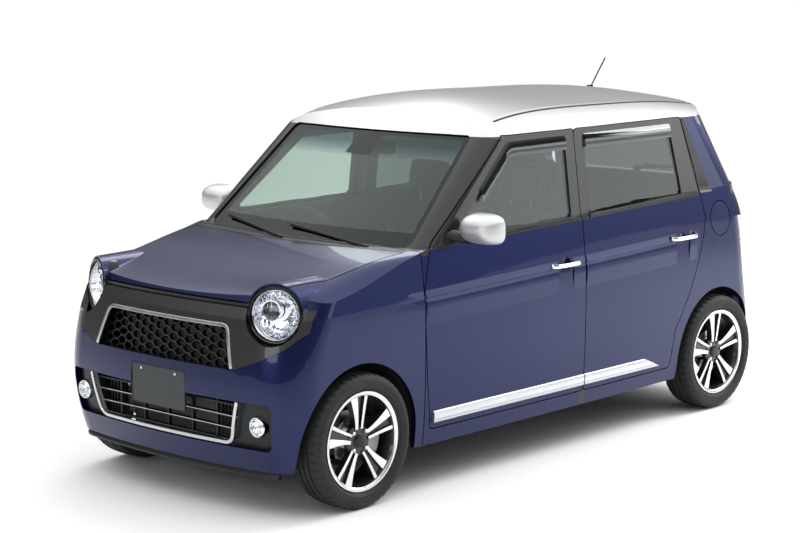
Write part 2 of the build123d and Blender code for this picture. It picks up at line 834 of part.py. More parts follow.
with BuildPart() as bonnet_panel:
    add(skin_wall)
    add(bonnet_prism, mode=Mode.INTERSECT)
    add(lamp_hole.part, mode=Mode.SUBTRACT)
keep(bonnet_panel.part, "bonnet_panel")

face_middle = block(
    (face_back_x, -face_middle_y, bumper_top_front), (end_reach, face_middle_y, bonnet_top),
)
with BuildPart() as front_fenders:
    add(skin_wall)
    add(block(
        (fender_split_x, -side_reach, sill_bottom), (end_reach, side_reach, cowl_high),
    ), mode=Mode.INTERSECT)
    for tool in (bonnet_hole, front_bumper_zone, face_hole, lamp_hole.part, front_arch, cowl_zone):
        add(tool, mode=Mode.SUBTRACT)
    add(face_middle, mode=Mode.SUBTRACT)
keep(joined(*front_fenders.part.solids().sort_by(SortBy.VOLUME)[-2:]), "front_fenders")

with BuildPart() as face_panel:
    add(skin_wall)
    add(face_prism, mode=Mode.INTERSECT)
    add(lamp_hole.part, mode=Mode.SUBTRACT)
    add(grille_hole, mode=Mode.SUBTRACT)
keep(face_panel.part, "face_panel")

with BuildPart() as front_bumper:
    add(skin_wall)
    add(front_bumper_zone, mode=Mode.INTERSECT)
    add(block((0, -side_reach, sill_bottom), (end_reach, side_reach, cowl_high)), mode=Mode.INTERSECT)
    for tool in (face_hole, lamp_hole.part, front_arch, mouth_hole, plate_seat):
        add(tool, mode=Mode.SUBTRACT)
keep(front_bumper.part, "front_bumper")

with BuildPart() as rear_bumper:
    add(skin_wall)
    add(rear_bumper_zone, mode=Mode.INTERSECT)
    add(block((-end_reach, -side_reach, sill_bottom), (0, side_reach, cowl_high)), mode=Mode.INTERSECT)
    add(rear_arch, mode=Mode.SUBTRACT)
keep(rear_bumper.part, "rear_bumper")

# Tailgate and its glass
rear_glass_sketch = polygon(rear_glass, rear_glass_corner)
tailgate_skin = common(skin_wall, tailgate_prism)
tailgate_core = common(door_wall, tailgate_core_prism)
spoiler_half_width = 490.0
spoiler_section_y = 515.0
spoiler_thickness = 20.0
# Columns: x, centre height, height at the section's side
spoiler_sections = [
    (-1276.0, 1543.0, 1498.0),
    (-1510.0, 1512.0, 1454.0),
]
spoiler_front_x = spoiler_sections[0][0]
spoiler_corner_x = -1405.0
spoiler_tail_x = -1495.0
spoiler_low = 1300.0
with BuildSketch() as spoiler_plan:
    with BuildLine():
        ThreePointArc(
            (spoiler_corner_x, -spoiler_half_width), (spoiler_tail_x, 0),
            (spoiler_corner_x, spoiler_half_width),
        )
        Polyline(
            (spoiler_corner_x, spoiler_half_width), (spoiler_front_x, spoiler_half_width),
            (spoiler_front_x, -spoiler_half_width), (spoiler_corner_x, -spoiler_half_width),
        )
    make_face()
with BuildPart() as spoiler:
    for x, centre_height, side_height in spoiler_sections:
        low_side = side_height - spoiler_thickness
        low_centre = centre_height - spoiler_thickness
        with BuildSketch(across(x)):
            with BuildLine():
                ThreePointArc(
                    (-spoiler_section_y, side_height), (0, centre_height), (spoiler_section_y, side_height),
                )
                Line((spoiler_section_y, side_height), (spoiler_section_y, low_side))
                ThreePointArc((spoiler_section_y, low_side), (0, low_centre), (-spoiler_section_y, low_side))
                Line((-spoiler_section_y, low_side), (-spoiler_section_y, side_height))
            make_face()
    loft()
    add(top_prism(spoiler_plan.sketch, spoiler_low, tailgate_top), mode=Mode.INTERSECT)
with BuildPart() as tailgate_panel:
    add(tailgate_skin)
    add(tailgate_core)
    add(spoiler.part)
    add(front_prism(grown(rear_glass_sketch, glass_gap), -nose_reach, rear_glass_front), mode=Mode.SUBTRACT)
keep(tailgate_panel.part, "tailgate_panel")
with BuildPart() as tailgate_glass:
    add(glass_wall)
    add(front_prism(rear_glass_sketch, -nose_reach, rear_glass_front), mode=Mode.INTERSECT)
keep(tailgate_glass.part, "tailgate_glass")
with BuildPart() as windscreen:
    add(glass_wall)
    add(front_prism(screen_sketch, screen_prism_rear, screen_prism_front), mode=Mode.INTERSECT)
keep(windscreen.part, "windscreen")

# Honeycomb upper grille on a bowed sheet
mesh_low = face_bottom - hex_wall
mesh_high = grille_top + 2 * mesh_edge
with BuildSketch() as mesh_sketch:
    add(grown(grille_sketch.sketch, mesh_edge))
    with Locations((0, (grille_top + face_bottom) / 2)):
        with HexLocations(hex_cell / 2, *mesh_rows):
            RegularPolygon(hex_cell / 2 - hex_wall / 2, 6, major_radius=False, mode=Mode.SUBTRACT)
with BuildPart() as mesh_sheet:
    with BuildSketch(Plane.XY.offset(mesh_low)):
        add(nose_outline(mesh_nose_x, mesh_depth))
    extrude(amount=mesh_high - mesh_low, dir=(-mesh_lean, 0, 1))
with BuildPart() as upper_grille:
    add(front_prism(mesh_sketch.sketch, nose_hole_x, nose_reach))
    add(mesh_sheet.part, mode=Mode.INTERSECT)
keep(upper_grille.part.solids().sort_by(SortBy.VOLUME)[-1], "upper_grille")

# Bright arch over the grille and bright smile round the mouth, set in the skin
trim_back_x = 1560.0
smile_rise = 150.0
smile_flare = 30.0
smile_corner = 44.0
arch_foot = face_bottom + trim_width / 4
with BuildSketch() as arch_sketch:
    add(grille_sketch.sketch)
    add(grown(grille_sketch.sketch, -trim_width), mode=Mode.SUBTRACT)
    with Locations((0, arch_foot - side_reach / 2)):
        Rectangle(2 * side_reach, side_reach, mode=Mode.SUBTRACT)
smile_outline = polygon([
    (-smile_half_bottom, smile_bottom), (-smile_half_top - smile_flare, mouth_top + smile_rise),
    (smile_half_top + smile_flare, mouth_top + smile_rise), (smile_half_bottom, smile_bottom),
], smile_corner)
with BuildSketch() as smile_sketch:
    add(grown(smile_outline, trim_width / 2))
    add(grown(smile_outline, -trim_width / 2), mode=Mode.SUBTRACT)
    with Locations((0, mouth_top + side_reach / 2)):
        Rectangle(2 * side_reach, side_reach, mode=Mode.SUBTRACT)
with BuildPart() as grille_trims:
    for outline in (smile_sketch, arch_sketch):
        add(front_prism(outline.sketch, trim_back_x, nose_reach))
    add(skin_wall, mode=Mode.INTERSECT)
keep(grille_trims.part, "grille_trims")

# Lower grille: pods for the fog lamps, end walls and thin slats across the mouth
slat_count = 4
slat_thickness = 7.0
slat_depth = 26.0
slat_x = half_length - 66.0
slat_post_depth = 16.0
slat_post_width = 8.0
slat_posts = (-300.0, -150.0, 0.0, 150.0, 300.0)
pod_depth = 112.0
pod_lap = 12.0
fog_depth = 26.0
fog_gap = 0.4
fog_seat_gap = 0.3
slat_step = (mouth_top - mouth_bottom) / slat_count
mouth_mid = (mouth_top + mouth_bottom) / 2
with BuildPart() as lower_grille:
    for y_sign in (-1, 1):
        with BuildSketch(across(half_length - pod_depth)):
            with BuildLine():
                Polyline(
                    (y_sign * (smile_half_bottom - pod_lap), mouth_bottom - pod_lap),
                    (y_sign * (mouth_half_bottom + pod_lap), mouth_bottom - pod_lap),
                    (y_sign * (mouth_half_top + pod_lap), mouth_top + pod_lap),
                    (y_sign * (smile_half_top - pod_lap), mouth_top + pod_lap), close=True,
                )
            make_face()
        extrude(amount=pod_depth)
    for step in range(slat_count):
        with Locations((slat_x, 0, mouth_bottom + slat_step / 2 + step * slat_step)):
            Box(slat_depth, 2 * (smile_half_top + pod_lap), slat_thickness)
    with Locations(*[(slat_x, y, mouth_mid) for y in slat_posts]):
        Box(slat_post_depth, slat_post_width, mouth_top - mouth_bottom + 2 * pod_lap)
    add(skin_form, mode=Mode.INTERSECT)
    for y_sign in (-1, 1):
        with BuildSketch(across(fog_x - fog_depth - fog_seat_gap)):
            with Locations((y_sign * fog_y, fog_height)):
                Circle(fog_radius + fog_gap)
        extrude(amount=2 * pod_depth, mode=Mode.SUBTRACT)
keep(lower_grille.part, "lower_grille")

# Head lamps: bowls with a bezel ring, a projector in each, and domed lenses
lens_edge_radius = 104.0
lens_inner_radius = 98.0
lens_rise = 28.0
lens_edge_low = -12.0
lens_edge_high = -8.0
lens_thickness = 4.5
bowl_floor = -68.0
bowl_back = -74.7
# The bowl's inside and its bezel ring. Columns: radius, height along the lamp's axis
bowl_edge = [
    (60.0, bowl_floor), (92.0, -36.0), (96.0, -12.3), (104.3, -12.3), (104.3, -5.0), (112.0, -1.0),
    (lamp_bezel_radius, -5.0), (lamp_bezel_radius, bowl_back),
]
projector_radius = 40.0
projector_side = -40.0
projector_rim = (34.0, -34.0)
projector_rise = 14.0


def dome_radius(edge_y, rise):
    """The radius of a dome that rises so much from an edge so far out."""
    return (edge_y ** 2 + rise ** 2) / (2 * rise)


with BuildPart() as bowl:
    with BuildSketch(Plane.XZ):
        with BuildLine():
            Polyline((0, bowl_floor), *bowl_edge, (0, bowl_back), close=True)
        make_face()
    revolve(axis=Axis.Z)
with BuildPart() as lens:
    lens_top = lens_edge_high + lens_rise
    inner_top = lens_top - lens_thickness
    with BuildSketch(Plane.XZ):
        with BuildLine():
            RadiusArc(
                (0, lens_top), (lens_edge_radius, lens_edge_high), dome_radius(lens_edge_radius, lens_rise),
            )
            Line((lens_edge_radius, lens_edge_high), (lens_edge_radius, lens_edge_low))
            Line((lens_edge_radius, lens_edge_low), (lens_inner_radius, lens_edge_low))
            RadiusArc(
                (lens_inner_radius, lens_edge_low), (0, inner_top),
                -dome_radius(lens_inner_radius, inner_top - lens_edge_low),
            )
            Line((0, inner_top), (0, lens_top))
        make_face()
    revolve(axis=Axis.Z)
with BuildPart() as projector:
    projector_top = projector_rim[1] + projector_rise
    projector_seat = bowl_floor + fog_seat_gap
    with BuildSketch(Plane.XZ):
        with BuildLine():
            Polyline(
                (0, projector_seat), (projector_radius, projector_seat), (projector_radius, projector_side),
                projector_rim,
            )
            RadiusArc(projector_rim, (0, projector_top), -dome_radius(projector_rim[0], projector_rise))
            Line((0, projector_top), (0, projector_seat))
        make_face()
    revolve(axis=Axis.Z)
with BuildPart() as headlamp_bowls:
    for y_sign in (-1, 1):
        add(lamp_axis(y_sign, 0).location * bowl.part)
        add(lamp_axis(y_sign, 0).location * projector.part)
keep(headlamp_bowls.part, "headlamp_bowls")
with BuildPart() as headlamp_lenses:
    for y_sign in (-1, 1):
        add(lamp_axis(y_sign, 0).location * lens.part)
keep(headlamp_lenses.part, "headlamp_lenses")

fog_body = 20.0
fog_nose = 8.0
fog_face_share = 0.6
# Columns: x, radius
fog_loft = [(fog_x - fog_depth + fog_body, fog_radius), (fog_x + fog_nose, fog_radius * fog_face_share)]
with BuildPart() as fog_lamps:
    for y_sign in (-1, 1):
        with BuildSketch(across(fog_x - fog_depth)):
            with Locations((y_sign * fog_y, fog_height)):
                Circle(fog_radius)
        extrude(amount=fog_body)
        for x, radius in fog_loft:
            with BuildSketch(across(x)):
                with Locations((y_sign * fog_y, fog_height)):
                    Circle(radius)
        loft()
keep(fog_lamps.part, "fog_lamps")
with BuildPart() as number_plates:
    with Locations((plate_x + plate_thickness / 2, 0, plate_centre_height)):
        Box(plate_thickness, plate_width, plate_height)
keep(number_plates.part, "number_plate")

# Floor with a step up to the boot, and the wheel liners
seat_gap = 0.3
floor_top = floor_height + floor_thickness
boot_top = boot_floor_height + floor_thickness
boot_end_x = -1575.0
kick_run = 80.0
kick_lap = 20.0
tunnel_width = 190.0
tunnel_height = 120.0
tunnel_corner = 30.0
liner_reach_y = 760.0
liner_outer_radius = arch_radius + 8.0
front_liner_inner_radius = arch_radius + 3.0
rear_liner_inner_radius = arch_radius + 1.0
floor_liner_gap = 1.0
front_liner_gap_y = 4.0
front_liner_low = tyre_radius - 60.0
rear_liner_low = boot_floor_height - 40.0
rear_liner_cap = 6.0
strut_y = 532.0
tower_inner_radius = 75.0
tower_outer_radius = 82.0
tower_low = 590.0
tower_top = 700.0
tower_lid = 8.0
rear_liner_tool = arch_tool(
    rear_axle_x, liner_outer_radius + floor_liner_gap, rear_arch_inner_y - rear_liner_cap,
)
kick_top_x = rear_kick_x + kick_lap
kick_foot_x = rear_kick_x - kick_lap / 2
with BuildPart() as floor_pan:
    with BuildSketch(side_plane(side_reach)):
        with BuildLine():
            Polyline(
                (bulkhead_x, floor_height), (bulkhead_x, floor_top), (kick_top_x, floor_top),
                (kick_top_x - kick_run, boot_top), (boot_end_x, boot_top), (boot_end_x, boot_floor_height),
                (kick_foot_x - kick_run, boot_floor_height), (kick_foot_x, floor_height), close=True,
            )
        make_face()
    extrude(amount=2 * side_reach)
    add(cabin_form, mode=Mode.INTERSECT)
    add(rear_liner_tool, mode=Mode.SUBTRACT)
    with BuildSketch(across(kick_top_x)):
        with Locations((0, floor_height + tunnel_height / 2)):
            RectangleRounded(tunnel_width, tunnel_height, tunnel_corner)
    extrude(amount=bulkhead_x - kick_top_x)
keep(floor_pan.part, "floor_pan")

with BuildPart() as front_liner:
    with BuildSketch(side_plane(liner_reach_y)):
        with Locations((front_axle_x, tyre_radius)):
            Circle(liner_outer_radius)
            Circle(front_liner_inner_radius, mode=Mode.SUBTRACT)
        with Locations((front_axle_x, front_liner_low - arch_radius)):
            Rectangle(3 * arch_radius, 2 * arch_radius, mode=Mode.SUBTRACT)
    extrude(amount=liner_reach_y - front_arch_inner_y - front_liner_gap_y)
    with BuildSketch(Plane.XY.offset(tower_low - overrun)):
        with Locations((front_axle_x, strut_y)):
            Circle(tower_inner_radius)
    extrude(amount=tower_top - tower_low + overrun, mode=Mode.SUBTRACT)
    with BuildSketch(Plane.XY.offset(tower_low)):
        with Locations((front_axle_x, strut_y)):
            Circle(tower_outer_radius)
            Circle(tower_inner_radius, mode=Mode.SUBTRACT)
    extrude(amount=tower_top - tower_low)
    with BuildSketch(Plane.XY.offset(tower_top)):
        with Locations((front_axle_x, strut_y)):
            Circle(tower_outer_radius)
    extrude(amount=tower_lid)
    add(skin_form, mode=Mode.INTERSECT)
with BuildPart() as rear_liner:
    with BuildSketch(side_plane(liner_reach_y)):
        with Locations((rear_axle_x, tyre_radius)):
            Circle(liner_outer_radius)
            Circle(rear_liner_inner_radius, mode=Mode.SUBTRACT)
    extrude(amount=liner_reach_y - rear_arch_inner_y)
    with BuildSketch(side_plane(rear_arch_inner_y)):
        with Locations((rear_axle_x, tyre_radius)):
            Circle(liner_outer_radius)
    extrude(amount=rear_liner_cap)
    add(block(
        (-nose_reach, 0, rear_liner_low), (rear_axle_x + 2 * arch_radius, side_reach, tower_top),
    ), mode=Mode.INTERSECT)
    add(cabin_form, mode=Mode.INTERSECT)
with BuildPart() as wheel_liners:
    for liner in (front_liner, rear_liner):
        largest = liner.part.solids().sort_by(SortBy.VOLUME)[-1]
        add(largest)
        mirror(largest, about=Plane.XZ)
keep(wheel_liners.part, "wheel_liners")

# Wheels: barrel, five pairs of unequal spokes, hub, brake disc; and a plain tyre ring
rim_half = rim_width / 2
spoke_face = 58.0
spoke_back = 34.0
hub_back = 28.0
hub_radius = 66.0
hub_wall = 8.0
disc_face = 9.0
disc_back = -2.0
disc_radius = 112.0
nut_well_radius = 12.0
nut_well_depth = 16.0
tyre_clearance = 0.3
# The rim's section, front flange to back flange to front. Columns: radius, distance along the axle
rim_section = [
    (rim_flange_radius, rim_half), (rim_flange_radius, rim_half - 8.0),
    (rim_inner_radius + 4.0, rim_half - 12.0), (rim_inner_radius - 8.0, rim_half - 40.0),
    (rim_inner_radius - 8.0, 22.0 - rim_half), (rim_inner_radius + 4.0, 12.0 - rim_half),
    (rim_flange_radius, 8.0 - rim_half), (rim_flange_radius, -rim_half),
    (rim_flange_radius - 9.0, -rim_half), (rim_inner_radius - 14.0, 22.0 - rim_half),
    (rim_inner_radius - 14.0, rim_half - 40.0), (rim_flange_radius - 12.0, rim_half - 5.0),
    (rim_flange_radius - 8.0, rim_half),
]
spoke_outlines = [
    [(30.0, -26.0), (rim_inner_radius - 6.0, -64.0), (rim_inner_radius - 2.0, -18.0), (44.0, -4.0)],
    [(44.0, 4.0), (rim_inner_radius - 2.0, 22.0), (rim_inner_radius - 6.0, 38.0), (30.0, 24.0)],
]
# Half of the tyre's section. Columns: radius, distance along the axle
tyre_section = [
    (rim_flange_radius + tyre_clearance, 66.0), (240.0, tyre_width / 2), (268.0, 73.0), (tyre_radius, 50.0),
]
with BuildPart() as rim:
    with BuildSketch(Plane.XZ):
        with BuildLine():
            Polyline(*rim_section, close=True)
        make_face()
    revolve(axis=Axis.Z)
    with BuildSketch(Plane.XY.offset(spoke_back)):
        with PolarLocations(0, spoke_pair_count, start_angle=90):
            for outline in spoke_outlines:
                with BuildLine():
                    Polyline(*outline, close=True)
                make_face()
    extrude(amount=spoke_face - spoke_back)
    with BuildSketch(Plane.XY.offset(hub_back)):
        Circle(hub_radius)
    extrude(amount=spoke_face - hub_back - nut_well_depth / 4)
    for face, outer_radius in ((hub_back, hub_radius), (disc_face, disc_radius)):
        with BuildSketch(Plane.XY.offset(disc_back)):
            Circle(outer_radius)
            Circle(hub_radius - hub_wall, mode=Mode.SUBTRACT)
        extrude(amount=face - disc_back)
    with BuildSketch(Plane.XY.offset(spoke_face)):
        with PolarLocations(nut_circle_radius, nut_count):
            Circle(nut_well_radius)
    extrude(amount=-nut_well_depth, mode=Mode.SUBTRACT)
with BuildPart() as tyre:
    with BuildSketch(Plane.XZ):
        with BuildLine():
            Polyline(
                *tyre_section, *[(radius, -along) for radius, along in reversed(tyre_section)], close=True,
            )
        make_face()
    revolve(axis=Axis.Z)


def wheel_place(x, y_sign):
    """Where a wheel stands, its outer face turned away from the car."""
    return Location(Plane(origin=(x, y_sign * wheel_y, tyre_radius), x_dir=(1, 0, 0), z_dir=(0, y_sign, 0)))


for end, x in (("front", front_axle_x), ("rear", rear_axle_x)):
    for side, y_sign in (("left", 1), ("right", -1)):
        place = wheel_place(x, y_sign)
        keep(place * rim.part, f"wheel_{end}_{side}_rim")
        keep(place * tyre.part, f"wheel_{end}_{side}_tyre")

# Knuckles: hub, upright, strut with spring seat, and brake caliper on each front wheel
hub_seat_y = wheel_y + disc_back - 0.5
hub_tip_y = wheel_y + hub_back - tyre_clearance
hub_pin_radius = 50.0
upright_inner_y = hub_seat_y - 56.0
upright_outer_y = hub_seat_y - 26.0
# The upright seen from the side. Columns: distance ahead of the axle, height
upright_outline = [
    (34.0, 196.0), (46.0, 290.0), (30.0, 396.0), (-30.0, 396.0), (-46.0, 290.0), (-34.0, 196.0),
]
bridge_low = 350.0
bridge_high = 396.0
bridge_width = 44.0
bridge_inner_y = strut_y - 6.0
# The strut's steps from the foot up. Columns: low, high, radius
strut_steps = [(340.0, 570.0, 22.0), (560.0, 570.0, 46.0), (570.0, 684.0, 11.0)]
# A ball on the steering axis under the tower's lid
strut_ball_y = 542.7
strut_ball_radius = 14.0
caliper_inner_radius = 78.0
caliper_outer_radius = 140.0
caliper_start = 150.0
caliper_span = 60.0
caliper_width = 56.0
caliper_outer_y = hub_seat_y + 26.0
caliper_slot_y = hub_seat_y + 17.0
caliper_slot_width = 22.0
caliper_slot_radius = disc_radius + 6.0
bracket_x = front_axle_x - 66.0
bracket_size = (60.0, 70.0)
with BuildPart() as knuckle:
    with BuildSketch(side_plane(hub_seat_y)):
        with Locations((front_axle_x, tyre_radius)):
            Circle(hub_pin_radius)
    extrude(amount=hub_seat_y - upright_inner_y)
    with BuildSketch(side_plane(upright_outer_y)):
        with BuildLine():
            Polyline(*[(front_axle_x + ahead, height) for ahead, height in upright_outline], close=True)
        make_face()
    extrude(amount=upright_outer_y - upright_inner_y)
    add(block(
        (front_axle_x - bridge_width / 2, bridge_inner_y, bridge_low),
        (front_axle_x + bridge_width / 2, upright_outer_y, bridge_high),
    ))
    for low, high, radius in strut_steps:
        with BuildSketch(Plane.XY.offset(low)):
            with Locations((front_axle_x, strut_y)):
                Circle(radius)
        extrude(amount=high - low)
    with Locations((front_axle_x, strut_ball_y, tower_top - seat_gap - strut_ball_radius)):
        Sphere(strut_ball_radius)
    with BuildSketch(side_plane(caliper_outer_y)):
        with BuildLine():
            axle = (front_axle_x, tyre_radius)
            outer_arc = CenterArc(axle, caliper_outer_radius, caliper_start, caliper_span)
            inner_arc = CenterArc(axle, caliper_inner_radius, caliper_start, caliper_span)
            Line(outer_arc @ 0, inner_arc @ 0)
            Line(outer_arc @ 1, inner_arc @ 1)
        make_face()
    extrude(amount=caliper_width)
    with BuildSketch(side_plane(caliper_slot_y)):
        with Locations((front_axle_x, tyre_radius)):
            Circle(caliper_slot_radius)
    extrude(amount=caliper_slot_width, mode=Mode.SUBTRACT)
    with BuildSketch(side_plane(hub_tip_y)):
        with Locations((front_axle_x, tyre_radius)):
            Circle(hub_pin_radius)
    extrude(amount=hub_tip_y - upright_outer_y)
    with BuildSketch(side_plane(upright_outer_y)):
        with Locations((bracket_x, tyre_radius)):
            Rectangle(*bracket_size)
    extrude(amount=upright_outer_y - upright_inner_y)
keep(knuckle.part, "knuckle_left")
keep(mirrored(knuckle.part), "knuckle_right")

# Front suspension: cross member, lower arms with ball pins, legs to the bulkhead and rails to the radiator
beam_low = 182.0
# Blocks of the cross member. Columns: rear x, front x, half width, low, high
beam_blocks = [
    (front_axle_x - 135.0, front_axle_x + 75.0, 320.0, beam_low, 228.0),
    (front_axle_x - 135.0, front_axle_x - 85.0, 310.0, 228.0, 278.0),
]
arm_low = 166.0
arm_thickness = 22.0
# A lower arm seen from above, left side. Columns: distance ahead of the axle, y
arm_outline = [(-130.0, 260.0), (75.0, 260.0), (75.0, 330.0), (24.0, 480.0), (22.0, 634.0), (-22.0, 634.0),
               (-24.0, 480.0), (-130.0, 330.0)]
ball_y = 632.0
ball_height = 188.0
ball_radius = 10.0
ball_length = 14.0
leg_y = 320.0
leg_half_width = 30.0
leg_low = 200.0
leg_high = 262.0
rail_y = 250.0
rail_half_width = 20.0
radiator_x = 1540.0
radiator_low = 208.0
rail_front_x = radiator_x + 25.0
with BuildPart() as front_suspension:
    for rear_x, front_x, half_width, low, high in beam_blocks:
        add(block((rear_x, -half_width, low), (front_x, half_width, high)))
    with BuildSketch(Plane.XY.offset(arm_low)):
        with BuildLine():
            Polyline(*[(front_axle_x + ahead, y) for ahead, y in arm_outline], close=True)
        make_face()
        mirror(about=Plane.XZ)
    extrude(amount=arm_thickness)
    for y_sign in (-1, 1):
        with Locations((front_axle_x, y_sign * ball_y, ball_height)):
            Cylinder(ball_radius, ball_length)
        add(block(
            (bulkhead_x + bulkhead_thickness, y_sign * leg_y - leg_half_width, leg_low),
            (front_axle_x - 2 * bridge_width, y_sign * leg_y + leg_half_width, leg_high),
        ))
        add(block(
            (front_axle_x, y_sign * rail_y - rail_half_width, beam_low),
            (rail_front_x, y_sign * rail_y + rail_half_width, radiator_low - seat_gap),
        ))
keep(front_suspension.part, "front_suspension")

# Rear axle: a twist beam with trailing arms, springs and hubs
twist_beam_x = rear_axle_x + 130.0
twist_beam_size = (70.0, 1010.0, 60.0)
twist_beam_height = 262.0
trailing_arm_x = rear_axle_x + 160.0
trailing_arm_y = 490.0
trailing_arm_size = (420.0, 46.0, 62.0)
trailing_arm_height = 268.0
rear_hub_inner_y = 512.0
rear_hub_radius = 44.0
spring_x = rear_axle_x + 120.0
spring_y = 440.0
spring_low = 288.0
spring_radius = 48.0
with BuildPart() as rear_axle:
    with Locations((twist_beam_x, 0, twist_beam_height)):
        Box(*twist_beam_size)
    for y_sign in (-1, 1):
        with Locations((trailing_arm_x, y_sign * trailing_arm_y, trailing_arm_height)):
            Box(*trailing_arm_size)
        with BuildSketch(side_plane(y_sign * rear_hub_inner_y)):
            with Locations((rear_axle_x, tyre_radius)):
                Circle(rear_hub_radius)
        extrude(amount=-y_sign * (hub_tip_y - rear_hub_inner_y))
        with BuildSketch(Plane.XY.offset(spring_low + seat_gap)):
            with Locations((spring_x, y_sign * spring_y)):
                Circle(spring_radius)
        extrude(amount=boot_floor_height - spring_low - 2 * seat_gap)
keep(rear_axle.part, "rear_axle")

# Under the bonnet and under the floor
engine_centre = (front_axle_x + 85.0, 0, 470.0)
engine_size = (320.0, 560.0, 484.0)
engine_corner = 14.0
core_depth = 34.0
core_width = 620.0
core_height = 400.0
core_centre_height = 430.0
tank_depth = 46.0
tank_width = 640.0
tank_height = 24.0
slam_depth = 12.0
slam_half_width = 400.0
slam_low = 652.0
with BuildPart() as engine_block:
    with Locations(engine_centre):
        Box(*engine_size)
    fillet(engine_block.edges(), engine_corner)
keep(engine_block.part, "engine_block")
with BuildPart() as radiator:
    with Locations((radiator_x, 0, core_centre_height)):
        Box(core_depth, core_width, core_height)
    for height in (slam_low - tank_height / 2, radiator_low + tank_height / 2):
        with Locations((radiator_x, 0, height)):
            Box(tank_depth, tank_width, tank_height)
    add(block(
        (radiator_x - slam_depth, -slam_half_width, slam_low), (radiator_x, slam_half_width, bonnet_top),
    ))
    add(seal_form, mode=Mode.INTERSECT)
keep(radiator.part, "radiator")

exhaust_route = [
    (1000.0, -200.0, 208.0), (700.0, -262.0, 178.0), (-880.0, -262.0, 178.0), (-1180.0, -290.0, 200.0),
    (-1440.0, -330.0, 268.0),
]
exhaust_bend = 60.0
pipe_radius = 22.0
# Rubber hangers. Columns: x, y, foot height, height of the floor over it
hangers = [(-300.0, -262.0, 180.0, floor_height), (-1480.0, -330.0, 300.0, boot_floor_height)]
hanger_radius = 7.0
# Silencer and tail pipe. Columns: x, y, height, radius, length
cans = [(-1500.0, -330.0, 275.0, 78.0, 170.0), (-1590.0, -350.0, 250.0, 20.0, 60.0)]
with BuildPart() as exhaust:
    with BuildLine():
        route = FilletPolyline(*exhaust_route, radius=exhaust_bend)
    with BuildSketch(Plane(origin=route @ 0, z_dir=route % 0)):
        Circle(pipe_radius)
    sweep()
    for x, y, foot, seat in hangers:
        with BuildSketch(Plane.XY.offset(foot)):
            with Locations((x, y)):
                Circle(hanger_radius)
        extrude(amount=seat - foot)
    for x, y, height, radius, can_length in cans:
        with BuildSketch(across(x - can_length / 2)):
            with Locations((y, height)):
                Circle(radius)
        extrude(amount=can_length)
keep(exhaust.part, "exhaust")

fuel_tank_centre = (160.0, 60.0, 186.5)
fuel_tank_size = (700.0, 520.0, 95.0)
fuel_tank_corner = 18.0
with BuildPart() as fuel_tank:
    with Locations(fuel_tank_centre):
        Box(*fuel_tank_size)
    fillet(fuel_tank.edges(), fuel_tank_corner)
keep(fuel_tank.part, "fuel_tank")

# Dashboard and steering wheel
dash_half_width = 640.0
# The dashboard seen from the side. Columns: x, height
dash_outline = [
    (bulkhead_x - seat_gap, 620.0), (bulkhead_x - seat_gap, 985.0), (640.0, 991.0), (560.0, 940.0),
    (545.0, 840.0), (640.0, 720.0), (700.0, 600.0),
]
cowl_outline = [(640.0, 960.0), (520.0, 975.0), (500.0, 900.0), (620.0, 860.0)]
cowl_outer_y = -260.0
cowl_width = 180.0
steer_centre = (425.0, -345.0, 915.0)
steer_radius = 182.0
steer_axis = (-0.9, 0.0, 0.436)
steer_plane = Plane(origin=steer_centre, x_dir=(0, 1, 0), z_dir=steer_axis)
steer_ring_radius = 15.0
steer_boss_radius = 62.0
steer_back = 14.0
steer_boss_depth = 22.0
steer_spoke_middle = 95.0
steer_spoke_size = (150.0, 42.0)
steer_spoke_angles = (0, 180, 270)
column_radius = 30.0
column_depth = 84.0
column_gap = 6.0
shroud_radius = 34.0
shroud_depth = 110.0
with BuildPart() as dashboard:
    for outline, outer_y, width in (
        (dash_outline, dash_half_width, 2 * dash_half_width), (cowl_outline, cowl_outer_y, cowl_width),
    ):
        with BuildSketch(side_plane(outer_y)):
            with BuildLine():
                Polyline(*outline, close=True)
            make_face()
        extrude(amount=width)
    add(cabin_form, mode=Mode.INTERSECT)
    with BuildSketch(steer_plane):
        Circle(column_radius + column_gap)
    extrude(amount=-column_depth - seat_gap, mode=Mode.SUBTRACT)
    with BuildSketch(steer_plane.offset(-column_depth - seat_gap)):
        Circle(shroud_radius)
    extrude(amount=-shroud_depth)
keep(dashboard.part, "dashboard")

with BuildPart() as steering_wheel:
    with BuildSketch(Plane(origin=steer_centre, x_dir=steer_axis, z_dir=(0, 1, 0))):
        with Locations((0, steer_radius)):
            Circle(steer_ring_radius)
    revolve(axis=Axis(origin=steer_centre, direction=steer_axis))
    with BuildSketch(steer_plane.offset(-steer_back)):
        Circle(steer_boss_radius)
        for angle in steer_spoke_angles:
            spoke_x = steer_spoke_middle * cos(radians(angle))
            spoke_y = steer_spoke_middle * sin(radians(angle))
            with Locations(Location((spoke_x, spoke_y, 0), (0, 0, angle))):
                Rectangle(*steer_spoke_size)
    extrude(amount=steer_boss_depth)
    with BuildSketch(steer_plane.offset(-steer_back)):
        Circle(column_radius)
    extrude(amount=steer_back - column_depth)
keep(steering_wheel.part, "steering_wheel")

# Seats: outlines seen from the side. Columns: x, height
seat_outline = [
    (330.0, 470.0), (345.0, 560.0), (300.0, 592.0), (-90.0, 575.0), (-150.0, 640.0), (-250.0, 1050.0),
    (-300.0, 1062.0), (-345.0, 1030.0), (-270.0, 640.0), (-215.0, 480.0), (-160.0, 420.0), (280.0, 420.0),
]
head_rest = [(-255.0, 1090.0), (-240.0, 1215.0), (-290.0, 1240.0), (-345.0, 1225.0), (-345.0, 1085.0)]
seat_y = 285.0
seat_width = 490.0
seat_corner = 16.0
head_rest_width = 240.0
head_rest_corner = 14.0
